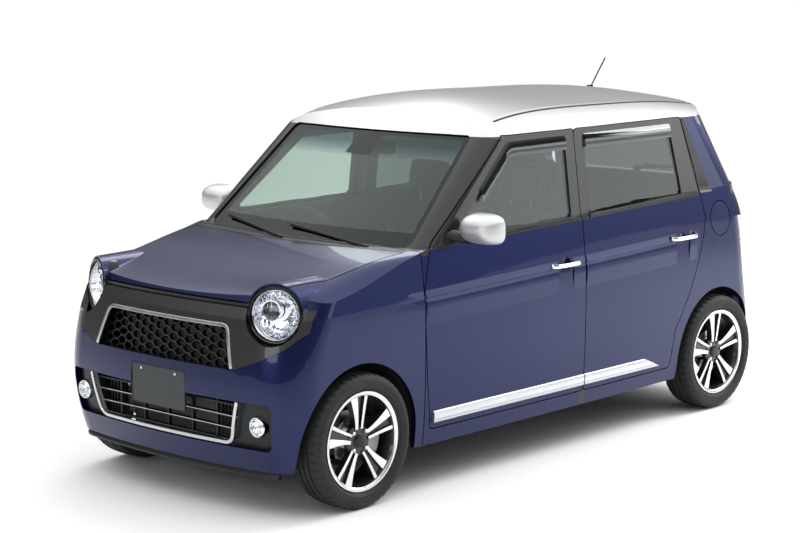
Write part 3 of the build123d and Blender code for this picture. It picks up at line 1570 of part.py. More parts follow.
# Posts of the head rests. Columns: x, height of the middle, distance from the seat's middle
front_post = (-310.0, 1075.0, 60.0)
rear_post = (-1128.0, 1025.0, 50.0)
post_radius = 6.0
post_length = 60.0
plinth_x = 60.0
plinth_size = (380.0, 360.0)
plinth_top = 424.0
rear_seat_outline = [
    (-540.0, boot_top + 0.5), (-510.0, 560.0), (-550.0, 590.0), (-900.0, 570.0), (-960.0, 640.0),
    (-1080.0, 1010.0), (-1130.0, 1020.0), (-1155.0, 980.0), (-1060.0, 600.0), (-1010.0, boot_top + 0.5),
]
rear_head_rest = [
    (-1095.0, 1040.0), (-1090.0, 1150.0), (-1140.0, 1165.0), (-1175.0, 1140.0), (-1160.0, 1036.0),
]
rear_seat_width = 2 * (rear_arch_inner_y - 30.0)
rear_seat_corner = 14.0
rear_rest_y = 250.0
rear_rest_width = 230.0
rear_rest_corner = 12.0


def seat_solid(outline, width, y, corner):
    """A plain cushioned form: an outline seen from the side, as wide as the seat."""
    with BuildPart() as seat:
        with BuildSketch(side_plane(y + width / 2)):
            add(polygon(outline, corner))
        extrude(amount=width)
    return seat.part


def rest_posts(y, post):
    """The two posts under a head rest."""
    x, height, apart = post
    with BuildPart() as posts:
        with Locations((x, y - apart, height), (x, y + apart, height)):
            Cylinder(post_radius, post_length)
    return posts.part


with BuildPart() as front_seats:
    for y_sign in (-1, 1):
        add(seat_solid(seat_outline, seat_width, y_sign * seat_y, seat_corner))
        add(seat_solid(head_rest, head_rest_width, y_sign * seat_y, head_rest_corner))
        add(rest_posts(y_sign * seat_y, front_post))
        with BuildSketch(Plane.XY.offset(floor_top + seat_gap)):
            with Locations((plinth_x, y_sign * seat_y)):
                Rectangle(*plinth_size)
        extrude(amount=plinth_top - floor_top - seat_gap)
keep(front_seats.part, "front_seats")
with BuildPart() as rear_seat:
    add(seat_solid(rear_seat_outline, rear_seat_width, 0, rear_seat_corner))
    for y_sign in (-1, 1):
        add(seat_solid(rear_head_rest, rear_rest_width, y_sign * rear_rest_y, rear_rest_corner))
        add(rest_posts(y_sign * rear_rest_y, rear_post))
keep(rear_seat.part, "rear_seat")

# Cabin mirror on the screen, wipers on the cowl, antenna on the roof
cabin_mirror_x = 372.0
cabin_mirror_height = 1375.0
cabin_mirror_size = (220.0, 62.0)
cabin_mirror_corner = 24.0
cabin_mirror_depth = 26.0
mirror_stem_centre = (432.0, 0, 1390.0)
mirror_stem_size = (96.0, 26.0, 26.0)
with BuildPart() as cabin_mirror:
    with BuildSketch(across(cabin_mirror_x)):
        with Locations((0, cabin_mirror_height)):
            RectangleRounded(*cabin_mirror_size, cabin_mirror_corner)
    extrude(amount=cabin_mirror_depth)
    with Locations(mirror_stem_centre):
        Box(*mirror_stem_size)
    add(glass_inner, mode=Mode.INTERSECT)
keep(cabin_mirror.part, "cabin_mirror")

with BuildPart() as wipers:
    for pivot_y, tip_y in wiper_rows:
        with BuildLine() as blade:
            Polyline(
                (wiper_x(pivot_y, wiper_foot_height), pivot_y, wiper_foot_height),
                (wiper_x(tip_y, wiper_tip_height), tip_y, wiper_tip_height),
            )
        with BuildSketch(Plane(origin=blade.line @ 0, z_dir=blade.line % 0)):
            Circle(wiper_radius)
        sweep(path=blade.line)
    add(outer_form, mode=Mode.SUBTRACT)
keep(wipers.part, "wipers")

antenna_base = (-1180.0, 0.0, 1552.0)
antenna_base_radius = 16.0
antenna_base_height = 30.0
antenna_radius = 3.5
antenna_length = 190.0
antenna_lean = radians(50.0)
with BuildPart() as antenna:
    with Locations(antenna_base):
        Cylinder(antenna_base_radius, antenna_base_height)
    with BuildSketch(Plane(origin=antenna_base, z_dir=(-cos(antenna_lean), 0, sin(antenna_lean)))):
        Circle(antenna_radius)
    extrude(amount=antenna_length)
    add(outer_form, mode=Mode.SUBTRACT)
keep(antenna.part, "antenna")
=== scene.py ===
"""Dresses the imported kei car: paint, glass, lamps, wheels, trim and cabin, round the fixed frame."""
from math import ceil, cos, exp, pi, radians, sin

import bmesh
import bpy
from mathutils import Matrix, Vector
from mathutils.bvhtree import BVHTree


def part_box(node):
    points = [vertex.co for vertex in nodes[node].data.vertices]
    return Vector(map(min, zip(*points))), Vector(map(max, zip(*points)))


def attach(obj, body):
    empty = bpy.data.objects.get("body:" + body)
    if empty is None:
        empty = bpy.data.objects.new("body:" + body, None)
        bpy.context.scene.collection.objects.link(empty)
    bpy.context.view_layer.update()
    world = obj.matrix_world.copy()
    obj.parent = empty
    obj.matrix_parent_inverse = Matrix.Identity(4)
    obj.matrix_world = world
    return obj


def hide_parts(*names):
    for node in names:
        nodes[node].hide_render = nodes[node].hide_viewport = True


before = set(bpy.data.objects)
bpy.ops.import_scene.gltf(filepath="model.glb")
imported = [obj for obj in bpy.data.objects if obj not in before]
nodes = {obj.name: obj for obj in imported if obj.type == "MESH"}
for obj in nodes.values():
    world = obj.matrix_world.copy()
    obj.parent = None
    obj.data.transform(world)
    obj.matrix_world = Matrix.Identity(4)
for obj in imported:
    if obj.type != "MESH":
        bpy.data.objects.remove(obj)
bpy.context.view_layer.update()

bl_info = {
    "name": "Kei car finish",
    "version": (1, 0, 0),
    "blender": (4, 5, 0),
    "location": "3D View > Sidebar > Kei Car",
    "description": "Finishes the body, glass, lamps, wheels and cabin of a small four-door car",
    "category": "Object",
}

SIDES = {"left": 1.0, "right": -1.0}
ENDS = ("front", "rear")
UP = Vector((0.0, 0.0, 1.0))
AHEAD = Vector((1.0, 0.0, 0.0))


# Sizes and colours that a user would change
class KeiCarColours(bpy.types.PropertyGroup):
    """The colours of the finish"""

    body: bpy.props.FloatVectorProperty(
        name="Body", description="Metallic paint of the lower body", subtype="COLOR",
        default=(0.004, 0.009, 0.066), min=0.0, max=1.0,
    )
    roof: bpy.props.FloatVectorProperty(
        name="Roof", description="Metallic paint of the roof and mirror caps", subtype="COLOR",
        default=(0.60, 0.61, 0.62), min=0.0, max=1.0,
    )
    face: bpy.props.FloatVectorProperty(
        name="Face", description="Paint of the panel between the head lamps", subtype="COLOR",
        default=(0.050, 0.050, 0.050), min=0.0, max=1.0,
    )
    black: bpy.props.FloatVectorProperty(
        name="Black trim", description="Window frames, cowl, grilles and pods", subtype="COLOR",
        default=(0.012, 0.013, 0.014), min=0.0, max=1.0,
    )
    cabin: bpy.props.FloatVectorProperty(
        name="Cabin", description="Grained plastic of the cabin", subtype="COLOR",
        default=(0.030, 0.029, 0.028), min=0.0, max=1.0,
    )
    headliner: bpy.props.FloatVectorProperty(
        name="Headliner", description="Woven lining under the roof", subtype="COLOR",
        default=(0.30, 0.29, 0.27), min=0.0, max=1.0,
    )
    seat: bpy.props.FloatVectorProperty(
        name="Seats", description="Woven cover of the seats", subtype="COLOR",
        default=(0.028, 0.027, 0.026), min=0.0, max=1.0,
    )


class KeiCarSizes(bpy.types.PropertyGroup):
    """The sizes of the pieces that are added here"""

    tyre_groove_depth: bpy.props.FloatProperty(
        name="Groove depth", description="Depth of the tyre's grooves", subtype="DISTANCE", unit="LENGTH",
        default=0.006, min=0.001, max=0.01,
    )
    trim_width: bpy.props.FloatProperty(
        name="Bright trim width", description="Width of the bright trim round the grilles",
        subtype="DISTANCE", unit="LENGTH", default=0.015, min=0.005, max=0.03,
    )
    hex_pitch: bpy.props.FloatProperty(
        name="Mesh pitch", description="Width of one cell of the upper grille", subtype="DISTANCE",
        unit="LENGTH", default=0.062, min=0.02, max=0.12,
    )
    floor_size: bpy.props.FloatProperty(
        name="Floor size", description="Side of the studio floor", subtype="DISTANCE", unit="LENGTH",
        default=500.0, min=50.0, max=1000.0,
    )


def colours():
    """The colours set for this scene."""
    return bpy.context.scene.kei_car_colours


def sizes():
    """The sizes set for this scene."""
    return bpy.context.scene.kei_car_sizes


# Materials
def shader_base(name, colour, roughness, metallic=0.0, **sockets):
    """A material with one Principled shader; returns it with its tree and shader."""
    material = bpy.data.materials.new(name)
    material.use_nodes = True
    tree = material.node_tree
    shader = tree.nodes["Principled BSDF"]
    shader.inputs["Base Color"].default_value = (*colour, 1.0)
    shader.inputs["Roughness"].default_value = roughness
    shader.inputs["Metallic"].default_value = metallic
    for socket, value in sockets.items():
        shader.inputs[socket.replace("_", " ")].default_value = value
    return material, tree, shader


def add_node(tree, kind, **values):
    """A node of that kind with its properties and input defaults set."""
    node = tree.nodes.new(kind)
    for key, value in values.items():
        if key in node.inputs:
            node.inputs[key].default_value = value
        else:
            setattr(node, key, value)
    return node


def add_bump(tree, shader, height, strength, distance):
    """Bump on a shader from a height output."""
    bump = add_node(tree, "ShaderNodeBump", Strength=strength, Distance=distance)
    tree.links.new(height, bump.inputs["Height"])
    tree.links.new(bump.outputs["Normal"], shader.inputs["Normal"])
    return bump


def place_output(tree):
    """The object's own coordinates, in metres of the frame."""
    return add_node(tree, "ShaderNodeTexCoord").outputs["Object"]


def noise_output(tree, scale, detail=3.0):
    """A noise over the object's own coordinates."""
    noise = add_node(tree, "ShaderNodeTexNoise", Scale=scale, Detail=detail, Roughness=0.55)
    tree.links.new(place_output(tree), noise.inputs["Vector"])
    return noise.outputs["Fac"]


def ranged(tree, value, low, high, to_low, to_high):
    """A value mapped from one range to another, held at the ends."""
    spread = add_node(tree, "ShaderNodeMapRange")
    for socket, number in (("From Min", low), ("From Max", high), ("To Min", to_low), ("To Max", to_high)):
        spread.inputs[socket].default_value = number
    tree.links.new(value, spread.inputs["Value"])
    return spread.outputs["Result"]


def math_node(tree, operation, first, second=None):
    """One step of arithmetic; each operand is a socket or a number."""
    step = add_node(tree, "ShaderNodeMath", operation=operation)
    for slot, operand in zip(step.inputs, (first, second)):
        if operand is None:
            continue
        if isinstance(operand, (int, float)):
            slot.default_value = operand
        else:
            tree.links.new(operand, slot)
    return step.outputs["Value"]


def mixed(tree, share, first, second, kind="RGBA"):
    """A blend of two colours or two numbers; each is a socket or a value."""
    mix = tree.nodes.new("ShaderNodeMix")
    mix.data_type = kind
    sockets = {"RGBA": (6, 7, 2), "FLOAT": (2, 3, 0)}[kind]
    tree.links.new(share, mix.inputs[0])
    for index, operand in zip(sockets[:2], (first, second)):
        if isinstance(operand, bpy.types.NodeSocket):
            tree.links.new(operand, mix.inputs[index])
        elif kind == "RGBA":
            mix.inputs[index].default_value = (*operand, 1.0)
        else:
            mix.inputs[index].default_value = operand
    return mix.outputs[sockets[2]]


FLAKE_SCALE = 2600.0
FLAKE_SPREAD = 0.35
PAINT_ROUGHNESS = 0.32
PAINT_METALLIC = 0.75
LACQUER = 0.45
LACQUER_ROUGHNESS = 0.02


def flaked(tree, colour):
    """A metallic paint's colour, with fine flakes lighter and darker than the rest."""
    flakes = add_node(tree, "ShaderNodeTexVoronoi", Scale=FLAKE_SCALE)
    tree.links.new(place_output(tree), flakes.inputs["Vector"])
    light = tuple(min(1.0, channel * (1.0 + FLAKE_SPREAD)) for channel in colour)
    dark = tuple(channel * (1.0 - FLAKE_SPREAD) for channel in colour)
    return mixed(tree, flakes.outputs["Color"], dark, light)


def paint(name, colour, roughness=PAINT_ROUGHNESS, metallic=PAINT_METALLIC):
    """Metallic paint with fine flakes under clear lacquer."""
    material, tree, shader = shader_base(
        name, colour, roughness, metallic, Coat_Weight=LACQUER, Coat_Roughness=LACQUER_ROUGHNESS,
        Coat_IOR=1.5,
    )
    tree.links.new(flaked(tree, colour), shader.inputs["Base Color"])
    return material


def plastic(name, colour, roughness=0.45, grain=900.0, strength=0.12):
    """Moulded plastic with a fine grain."""
    material, tree, shader = shader_base(name, colour, roughness, Specular_IOR_Level=0.3)
    grain_noise = noise_output(tree, grain, 2.0)
    add_bump(tree, shader, grain_noise, strength, 0.0004)
    tree.links.new(
        ranged(tree, noise_output(tree, 9.0), 0.3, 0.7, roughness - 0.05, roughness + 0.06),
        shader.inputs["Roughness"],
    )
    return material


def metal(name, colour, roughness=0.25, brushed=0.0):
    """Bare or plated metal, its roughness drifting a little."""
    material, tree, shader = shader_base(name, colour, roughness, 1.0)
    tree.links.new(
        ranged(tree, noise_output(tree, 14.0), 0.3, 0.7, roughness * 0.8, roughness * 1.25),
        shader.inputs["Roughness"],
    )
    if brushed:
        add_bump(tree, shader, noise_output(tree, 700.0), brushed, 0.0003)
    return material


def glass(name, tint, clear):
    """Window glass: a tinted see-through sheet whose gloss grows where it is seen from the side."""
    material = bpy.data.materials.new(name)
    material.use_nodes = True
    tree = material.node_tree
    gloss = tree.nodes["Principled BSDF"]
    gloss.inputs["Base Color"].default_value = (0.86, 0.90, 0.90, 1.0)
    gloss.inputs["Metallic"].default_value = 1.0
    gloss.inputs["Roughness"].default_value = 0.01
    through = add_node(tree, "ShaderNodeBsdfTransparent")
    through.inputs["Color"].default_value = (*tint, 1.0)
    facing = add_node(tree, "ShaderNodeLayerWeight", Blend=0.5)
    grazing = math_node(tree, "POWER", facing.outputs["Facing"], 4.5)
    share = ranged(tree, grazing, 0.0, 1.0, 1.0 - clear, 1.0)
    mix = add_node(tree, "ShaderNodeMixShader")
    tree.links.new(share, mix.inputs["Fac"])
    tree.links.new(through.outputs["BSDF"], mix.inputs[1])
    tree.links.new(gloss.outputs["BSDF"], mix.inputs[2])
    tree.links.new(mix.outputs["Shader"], tree.nodes["Material Output"].inputs["Surface"])
    return material


def woven(name, colour, thread=0.0016):
    """Woven cloth: crossed threads as bump, with painted highlight on the threads' crests and painted shade
    in the dips between them.
    """
    material, tree, shader = shader_base(name, colour, 0.85, Sheen_Weight=0.25, Sheen_Roughness=0.5)
    heights = []
    for direction in ("X", "Y", "Z"):
        wave = add_node(
            tree, "ShaderNodeTexWave", wave_type="BANDS", bands_direction=direction, Scale=0.31 / thread,
        )
        tree.links.new(place_output(tree), wave.inputs["Vector"])
        heights.append(wave.outputs["Fac"])
    weave = math_node(tree, "ADD", math_node(tree, "MULTIPLY", heights[0], heights[2]), heights[1])
    add_bump(tree, shader, weave, 0.5, 0.0008)
    # Painted highlight and shade: the colour is lighter where the weave stands high and darker in its dips.
    light = tuple(min(1.0, channel * 1.7) for channel in colour)
    tree.links.new(
        mixed(tree, ranged(tree, weave, 0.2, 1.6, 0.0, 1.0), colour, light), shader.inputs["Base Color"],
    )
    return material


def axis_of(tree, output, letter):
    """One coordinate of a vector output."""
    parts = add_node(tree, "ShaderNodeSeparateXYZ")
    tree.links.new(output, parts.inputs["Vector"])
    return parts.outputs[letter]


def above(tree, value, level, soft=0.0004):
    """1 where a value is over a level, 0 where it is under, over a very narrow step."""
    return ranged(tree, value, level - soft, level + soft, 0.0, 1.0)


def sloped(tree, letter_in, letter_out, slope):
    """A height measured from a line that leans: the out coordinate less slope times the in one."""
    place = place_output(tree)
    lean = math_node(tree, "MULTIPLY", axis_of(tree, place, letter_in), slope)
    return math_node(tree, "SUBTRACT", axis_of(tree, place, letter_out), lean)


# The finishes, one of each, made once
finish = {}


def make_finishes():
    """Every material of the car, by a plain name."""
    tone = colours()
    body, roof, face, black = (tuple(colour) for colour in (tone.body, tone.roof, tone.face, tone.black))
    cabin, lining, cloth = (tuple(colour) for colour in (tone.cabin, tone.headliner, tone.seat))
    finish["body"] = paint("body_paint", body)
    finish["roof"] = paint("roof_paint", roof, 0.42, 0.7)
    finish["face"] = paint("face_paint", face, 0.42, 0.85)
    finish["black"] = plastic("black_plastic", black, 0.38)
    finish["gloss_black"] = plastic("gloss_black", (0.004, 0.004, 0.005), 0.08, 200.0, 0.01)
    finish["rubber"] = plastic("seal_rubber", (0.010, 0.010, 0.010), 0.65)
    finish["tyre"] = plastic("tyre_rubber", (0.017, 0.018, 0.018), 0.62, 500.0, 0.2)
    finish["bright"] = metal("bright_plating", (0.80, 0.81, 0.83), 0.09)
    finish["satin"] = metal("satin_silver", (0.62, 0.63, 0.65), 0.3)
    finish["machined"] = metal("machined_face", (0.78, 0.78, 0.80), 0.26, 0.06)
    finish["wheel_black"] = paint("wheel_lacquer", (0.012, 0.013, 0.015), 0.35, 0.3)
    finish["reflector"] = metal("reflector", (0.92, 0.93, 0.95), 0.06)
    finish["steel"] = metal("cast_steel", (0.30, 0.29, 0.28), 0.45, 0.2)
    finish["under"] = plastic("underseal", (0.012, 0.012, 0.012), 0.75, 300.0, 0.4)
    finish["cabin"] = plastic("cabin_plastic", cabin, 0.55, 700.0, 0.25)
    finish["lining"] = woven("headliner_weave", lining, 0.0022)
    finish["cloth"] = woven("seat_weave", cloth)
    finish["cloth_trim"] = woven("seat_bolster_weave", tuple(1.5 * channel for channel in cloth), 0.0011)
    finish["window"] = glass("window_glass", (0.74, 0.80, 0.77), 0.96)
    finish["privacy"] = glass("privacy_glass", (0.36, 0.40, 0.39), 0.95)
    finish["lens"] = glass("lamp_lens", (0.97, 0.98, 1.0), 0.97)
    finish["visor"] = glass("visor_smoke", (0.22, 0.23, 0.24), 0.9)
    finish["mirror"] = metal("mirror_glass", (0.85, 0.87, 0.88), 0.02)
    finish["plate"] = plastic("blank_plate", (0.045, 0.050, 0.053), 0.5)
    finish["white_plate"] = plastic("blank_plate_light", (0.62, 0.62, 0.60), 0.4)
    finish["red_lens"] = red_lens("red_lens", (0.55, 0.006, 0.008))

    finish["core"] = finned("radiator_core", (0.10, 0.11, 0.11))


def red_lens(name, colour):
    """Coloured lamp plastic with small prisms behind a smooth face."""
    material, tree, shader = shader_base(
        name, colour, 0.12, Coat_Weight=1.0, Coat_Roughness=0.02, Subsurface_Weight=0.15,
    )
    cells = add_node(tree, "ShaderNodeTexVoronoi", Scale=140.0)
    tree.links.new(place_output(tree), cells.inputs["Vector"])
    dark = tuple(channel * 0.45 for channel in colour)
    tree.links.new(
        mixed(tree, ranged(tree, cells.outputs["Distance"], 0.0, 0.7, 0.0, 1.0), dark, colour),
        shader.inputs["Base Color"],
    )
    return material


def finned(name, colour):
    """A cooling core: close upright fins."""
    material, tree, shader = shader_base(name, colour, 0.5, 0.6)
    fins = add_node(tree, "ShaderNodeTexWave", wave_type="BANDS", bands_direction="Y", Scale=110.0)
    tree.links.new(place_output(tree), fins.inputs["Vector"])
    add_bump(tree, shader, fins.outputs["Fac"], 0.8, 0.002)
    return material


def lined_paint(name, outside, inside, letter, sign=None, zones=()):
    """Paint outside and lining inside, told apart by which way the surface faces along an axis.

    Without a sign, the outside is the side away from the car's middle. Each zone is (mask builder, colour,
    metallic, roughness): where the mask is 1, the paint gives way to that colour.
    """
    material, tree, shader = shader_base(
        name, outside, PAINT_ROUGHNESS, PAINT_METALLIC, Coat_Weight=LACQUER, Coat_Roughness=LACQUER_ROUGHNESS,
        Specular_IOR_Level=0.25,
    )
    colour = flaked(tree, outside)
    metallic, rough = PAINT_METALLIC, PAINT_ROUGHNESS
    for mask_of, tone, tone_metal, tone_rough in zones:
        mask = mask_of(tree)
        colour = mixed(tree, mask, colour, flaked(tree, tone) if tone_metal > 0.5 else tone)
        metallic = mixed(tree, mask, metallic, tone_metal, "FLOAT")
        rough = mixed(tree, mask, rough, tone_rough, "FLOAT")
    coordinates = add_node(tree, "ShaderNodeTexCoord")
    facing = axis_of(tree, coordinates.outputs["Normal"], letter)
    if sign is None:
        sign = 1.0
        own_side = math_node(tree, "SIGN", axis_of(tree, coordinates.outputs["Object"], letter))
        facing = math_node(tree, "MULTIPLY", facing, own_side)
    inner = above(tree, math_node(tree, "MULTIPLY", facing, -sign), 0.35, 0.01)
    for socket, first, second, kind in (
        ("Base Color", colour, inside, "RGBA"), ("Metallic", metallic, 0.0, "FLOAT"),
        ("Roughness", rough, 0.6, "FLOAT"),
    ):
        tree.links.new(mixed(tree, inner, first, second, kind), shader.inputs[socket])
    return material


# The line under the side windows: its slope and its height at x 0
BELT_RISE = -0.0273
BELT_HEIGHT = 1.0356


def over_belt(tree):
    """1 above the line under the side windows."""
    return above(tree, sloped(tree, "X", "Z", BELT_RISE), BELT_HEIGHT)


def over_height(height):
    """A mask builder: 1 above a level height."""
    return lambda tree: above(tree, axis_of(tree, place_output(tree), "Z"), height)


def pillar_front(tree):
    """1 on the front pillar, ahead of the front door and over the bonnet line."""
    place = place_output(tree)
    return math_node(
        tree, "MULTIPLY", above(tree, axis_of(tree, place, "X"), 0.10),
        above(tree, axis_of(tree, place, "Z"), 0.995),
    )


def split_gap(tree):
    """1 on the frame behind the gap between the two doors."""
    place = place_output(tree)
    near = math_node(tree, "ABSOLUTE", math_node(tree, "ADD", axis_of(tree, place, "X"), 0.2165))
    return math_node(tree, "SUBTRACT", 1.0, above(tree, near, 0.02))


def screen_border(tree):
    """1 on the dark printed border of the windscreen, wider at the foot and round the mirror's stem."""
    place = place_output(tree)
    height = axis_of(tree, place, "Z")
    across = math_node(tree, "ABSOLUTE", axis_of(tree, place, "Y"))
    side_line = ranged(tree, height, 1.02, 1.452, 0.592, 0.512)
    side_mask = above(tree, math_node(tree, "SUBTRACT", across, side_line), 0.0)
    low = math_node(tree, "SUBTRACT", 1.0, above(tree, height, 1.072))
    high = above(tree, height, 1.432)
    near = math_node(tree, "SUBTRACT", 1.0, above(tree, across, 0.07))
    stem = math_node(tree, "MULTIPLY", above(tree, height, 1.352), near)
    side_or_low = math_node(tree, "MAXIMUM", side_mask, low)
    return math_node(tree, "MAXIMUM", side_or_low, math_node(tree, "MAXIMUM", high, stem))


SCREEN_TINT = (0.80, 0.87, 0.83)


def screen_glass():
    """Windscreen glass: clear, with a dark border and a blue-grey shade band at the top."""
    material = glass("windscreen_glass", SCREEN_TINT, 0.965)
    tree = material.node_tree
    through = next(node for node in tree.nodes if node.type == "BSDF_TRANSPARENT")
    height = axis_of(tree, place_output(tree), "Z")
    shade = ranged(tree, height, 1.34, 1.40, 0.0, 1.0)
    tinted = mixed(tree, shade, SCREEN_TINT, (0.30, 0.40, 0.42))
    dark = mixed(tree, screen_border(tree), tinted, (0.0, 0.0, 0.0))
    tree.links.new(dark, through.inputs["Color"])
    return material


NODE_FINISHES = {
    "body": ("front_fenders", "front_bumper", "rear_bumper", "fuel_lid"),
    "face": ("face_panel",),
    "black": ("cowl_panel", "upper_grille", "lower_grille"),
    "plate": ("number_plate",),
    "under": ("wheel_liners", "floor_pan", "rear_axle", "front_suspension", "fuel_tank"),
    "privacy": ("tailgate_glass",),
    "red_lens": ("tail_lamps",),
    "reflector": ("headlamp_bowls",),
    "lens": ("headlamp_lenses", "fog_lamps"),
    "bright": ("grille_trims",),
    "cabin": ("dashboard", "steering_wheel", "cabin_mirror"),
    "rubber": ("wipers", "antenna"),
    "core": ("radiator",),
    "steel": ("engine_block", "exhaust", "knuckle_left", "knuckle_right"),
    "cloth": ("front_seats", "rear_seat"),
}
SILVER_METALLIC, SILVER_ROUGHNESS = 0.9, 0.34


def dress_nodes():
    """Gives every CAD node that stays its finish."""
    tone = colours()
    body, roof, black, cabin, lining = (
        tuple(colour) for colour in (tone.body, tone.roof, tone.black, tone.cabin, tone.headliner)
    )
    plain_black = tuple(0.8 * channel for channel in black)
    silver = (roof, SILVER_METALLIC, SILVER_ROUGHNESS)
    by_node = {
        "bonnet_panel": lined_paint("bonnet_paint", body, plain_black, "Z", 1.0),
        "roof_panel": lined_paint("roof_and_lining", roof, lining, "Z", 1.0),
        "tailgate_panel": lined_paint(
            "tailgate_paint", body, cabin, "X", -1.0, [(over_height(1.462), *silver)],
        ),
        "side_frames": lined_paint("side_frame_paint", body, cabin, "Y", zones=[
            (pillar_front, black, 0.0, 0.25), (split_gap, black, 0.0, 0.5), (over_height(1.4475), *silver),
        ]),
        "windscreen": screen_glass(),
    }
    for look, names in NODE_FINISHES.items():
        by_node.update((name, finish[look]) for name in names)
    for side, sign in SIDES.items():
        door = lined_paint(f"door_paint_{side}", body, cabin, "Y", sign, [(over_belt, plain_black, 0.0, 0.3)])
        for end, pane in (("front", "window"), ("rear", "privacy")):
            by_node[f"{end}_door_{side}_panel"] = door
            by_node[f"{end}_door_{side}_glass"] = finish[pane]
            by_node[f"{end}_door_{side}_trim"] = finish["bright"]
            by_node[f"wheel_{end}_{side}_rim"] = finish["machined"]
            by_node[f"wheel_{end}_{side}_tyre"] = finish["tyre"]
    for name, material in by_node.items():
        mesh = nodes[name].data
        mesh.materials.clear()
        mesh.materials.append(material)


# Mesh makers
def piece(name, verts, faces, material, body, slot, sharp=40.0, replaces=()):
    """A mesh that rides on a body, shaded smooth except over sharp edges."""
    mesh = bpy.data.meshes.new(name)
    mesh.from_pydata([tuple(vert) for vert in verts], [], faces)
    mesh.validate()
    mesh.shade_smooth()
    mesh.set_sharp_from_angle(angle=radians(sharp))
    mesh.materials.append(material)
    obj = bpy.data.objects.new(name, mesh)
    bpy.context.scene.collection.objects.link(obj)
    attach(obj, body)
    if replaces:
        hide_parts(*replaces)
    return obj


def cleaned(obj, distance=1e-5):
    """The same piece with points that share a place merged and its faces turned outward."""

    work = bmesh.new()
    work.from_mesh(obj.data)
    bmesh.ops.remove_doubles(work, verts=work.verts, dist=distance)
    bmesh.ops.recalc_face_normals(work, faces=work.faces)
    work.to_mesh(obj.data)
    work.free()
    return obj


# The slot name looked up for each finish, unless a piece names another
SLOTS = {
    "body": "body_paint", "roof": "roof_paint", "tyre": "tyre", "wheel_black": "wheel_alloy",
    "machined": "wheel_alloy", "gloss_black": "black_trim", "black": "black_trim", "rubber": "black_trim",
    "satin": "bright", "bright": "bright", "mirror": "bright", "steel": "steel", "reflector": "lamp_bowl",
    "lens": "lamp_clear", "white_plate": "lamp_clear", "red_lens": "lamp_red", "visor": "dark_window",
    "privacy": "dark_window", "cloth": "seat_fabric", "cloth_trim": "seat_fabric", "cabin": "cabin_plastic",
    "lining": "cabin_plastic",
}


class Shape:
    """Points and faces gathered for one mesh."""

    def __init__(self):
        self.verts = []
        self.faces = []

    def rings(self, rings, closed_ring=True, closed_path=False, caps=False):
        """Joins rings of equally many points by quads."""
        base, count = len(self.verts), len(rings[0])
        for ring in rings:
            self.verts.extend(ring)
        path = len(rings) if closed_path else len(rings) - 1
        around = count if closed_ring else count - 1
        for i in range(path):
            here, there = base + i * count, base + (i + 1) % len(rings) * count
            for j in range(around):
                m = (j + 1) % count
                self.faces.append((here + j, here + m, there + m, there + j))
        if caps:
            last = base + (len(rings) - 1) * count
            self.faces.append(tuple(base + j for j in reversed(range(count))))
            self.faces.append(tuple(last + j for j in range(count)))
        return self

    def lathe(self, profile, origin, axis, segments, closed=False):
        """Turns a profile of (radius, along) round an axis."""
        axis, side, up = turned_axes(axis)
        rings = []
        for angle in turns(segments):
            spoke = side * cos(angle) + up * sin(angle)
            rings.append([Vector(origin) + axis * along + spoke * radius for radius, along in profile])
        return self.rings(rings, closed_ring=closed, closed_path=True)

    def sweep(self, path, outward, section):
        """Carries a closed section of (sideways, outward) along a path."""
        rings = []
        last = len(path) - 1
        for i, (point, out) in enumerate(zip(path, outward)):
            tangent = (path[min(i + 1, last)] - path[max(i - 1, 0)]).normalized()
            side = tangent.cross(out).normalized()
            lifted = side.cross(tangent)
            rings.append([point + side * s + lifted * n for s, n in section])
        return self.rings(rings, caps=True)

    def make(self, name, look, body, sharp=40.0, replaces=(), slot=None):
        """The gathered mesh as one piece in the given finish."""
        made = piece(name, self.verts, self.faces, finish[look], body, slot or SLOTS[look], sharp, replaces)
        return cleaned(made)


def turns(count):
    """The angles of a full turn cut into equal steps."""
    return [2 * pi * k / count for k in range(count)]


def rounded(value, power):
    """A sine or cosine turned into a squarer one."""
    return abs(value) ** power * (1 if value >= 0 else -1)


def turned_axes(axis):
    """Two directions square to an axis and to each other."""
    axis = Vector(axis).normalized()
    side = UP.cross(axis)
    if side.length < 0.1:
        side = AHEAD.cross(axis)
    side.normalize()
    return axis, side, axis.cross(side)


def round_section(radius, count):
    """A round section."""
    return [(radius * cos(angle), radius * sin(angle)) for angle in turns(count)]


def tree_of(*names):
    """A search tree over the faces of some CAD nodes."""
    verts, faces = [], []
    for name in names:
        mesh = nodes[name].data
        base = len(verts)
        verts.extend(vert.co.copy() for vert in mesh.vertices)
        faces.extend([base + index for index in polygon.vertices] for polygon in mesh.polygons)
    return BVHTree.FromPolygons(verts, faces)


def drop(tree, start, direction, fallback=None):
    """Where a ray first meets the surface, and the surface's outward direction there."""
    place, normal, _, _ = tree.ray_cast(Vector(start), Vector(direction))
    if place is None:
        return fallback, -Vector(direction).normalized()
    if normal.dot(Vector(direction)) > 0:
        normal = -normal
    return place, normal


def side_point(tree, x, z, sign):
    """A point on the car's side at x and z; where no surface is met, it lies at the doors' usual width."""
    return drop(tree, (x, sign * 1.2, z), (0.0, -sign, 0.0), Vector((x, sign * 0.72, z)))[0]


def smooth_path(points, steps=8):
    """A rounded path through points, as a Catmull and Rom curve."""
    points = [Vector(point) for point in points]
    padded = [points[0] * 2 - points[1]] + points + [points[-1] * 2 - points[-2]]
    path = []
    for i in range(1, len(padded) - 2):
        a, b, c, d = padded[i - 1:i + 3]
        for k in range(steps):
            t = k / steps
            path.append(0.5 * (
                2 * b + (c - a) * t + (2 * a - 5 * b + 4 * c - d) * t * t + (3 * b - a - 3 * c + d) * t ** 3
            ))
    path.append(points[-1])
    return path


def closed_loop(corners, radius):
    """A closed chain through corners, each one rounded."""
    return rounded_corners([(a, b, 0.0) for a, b in [*corners, *corners[:2]]], radius)[1:-1]


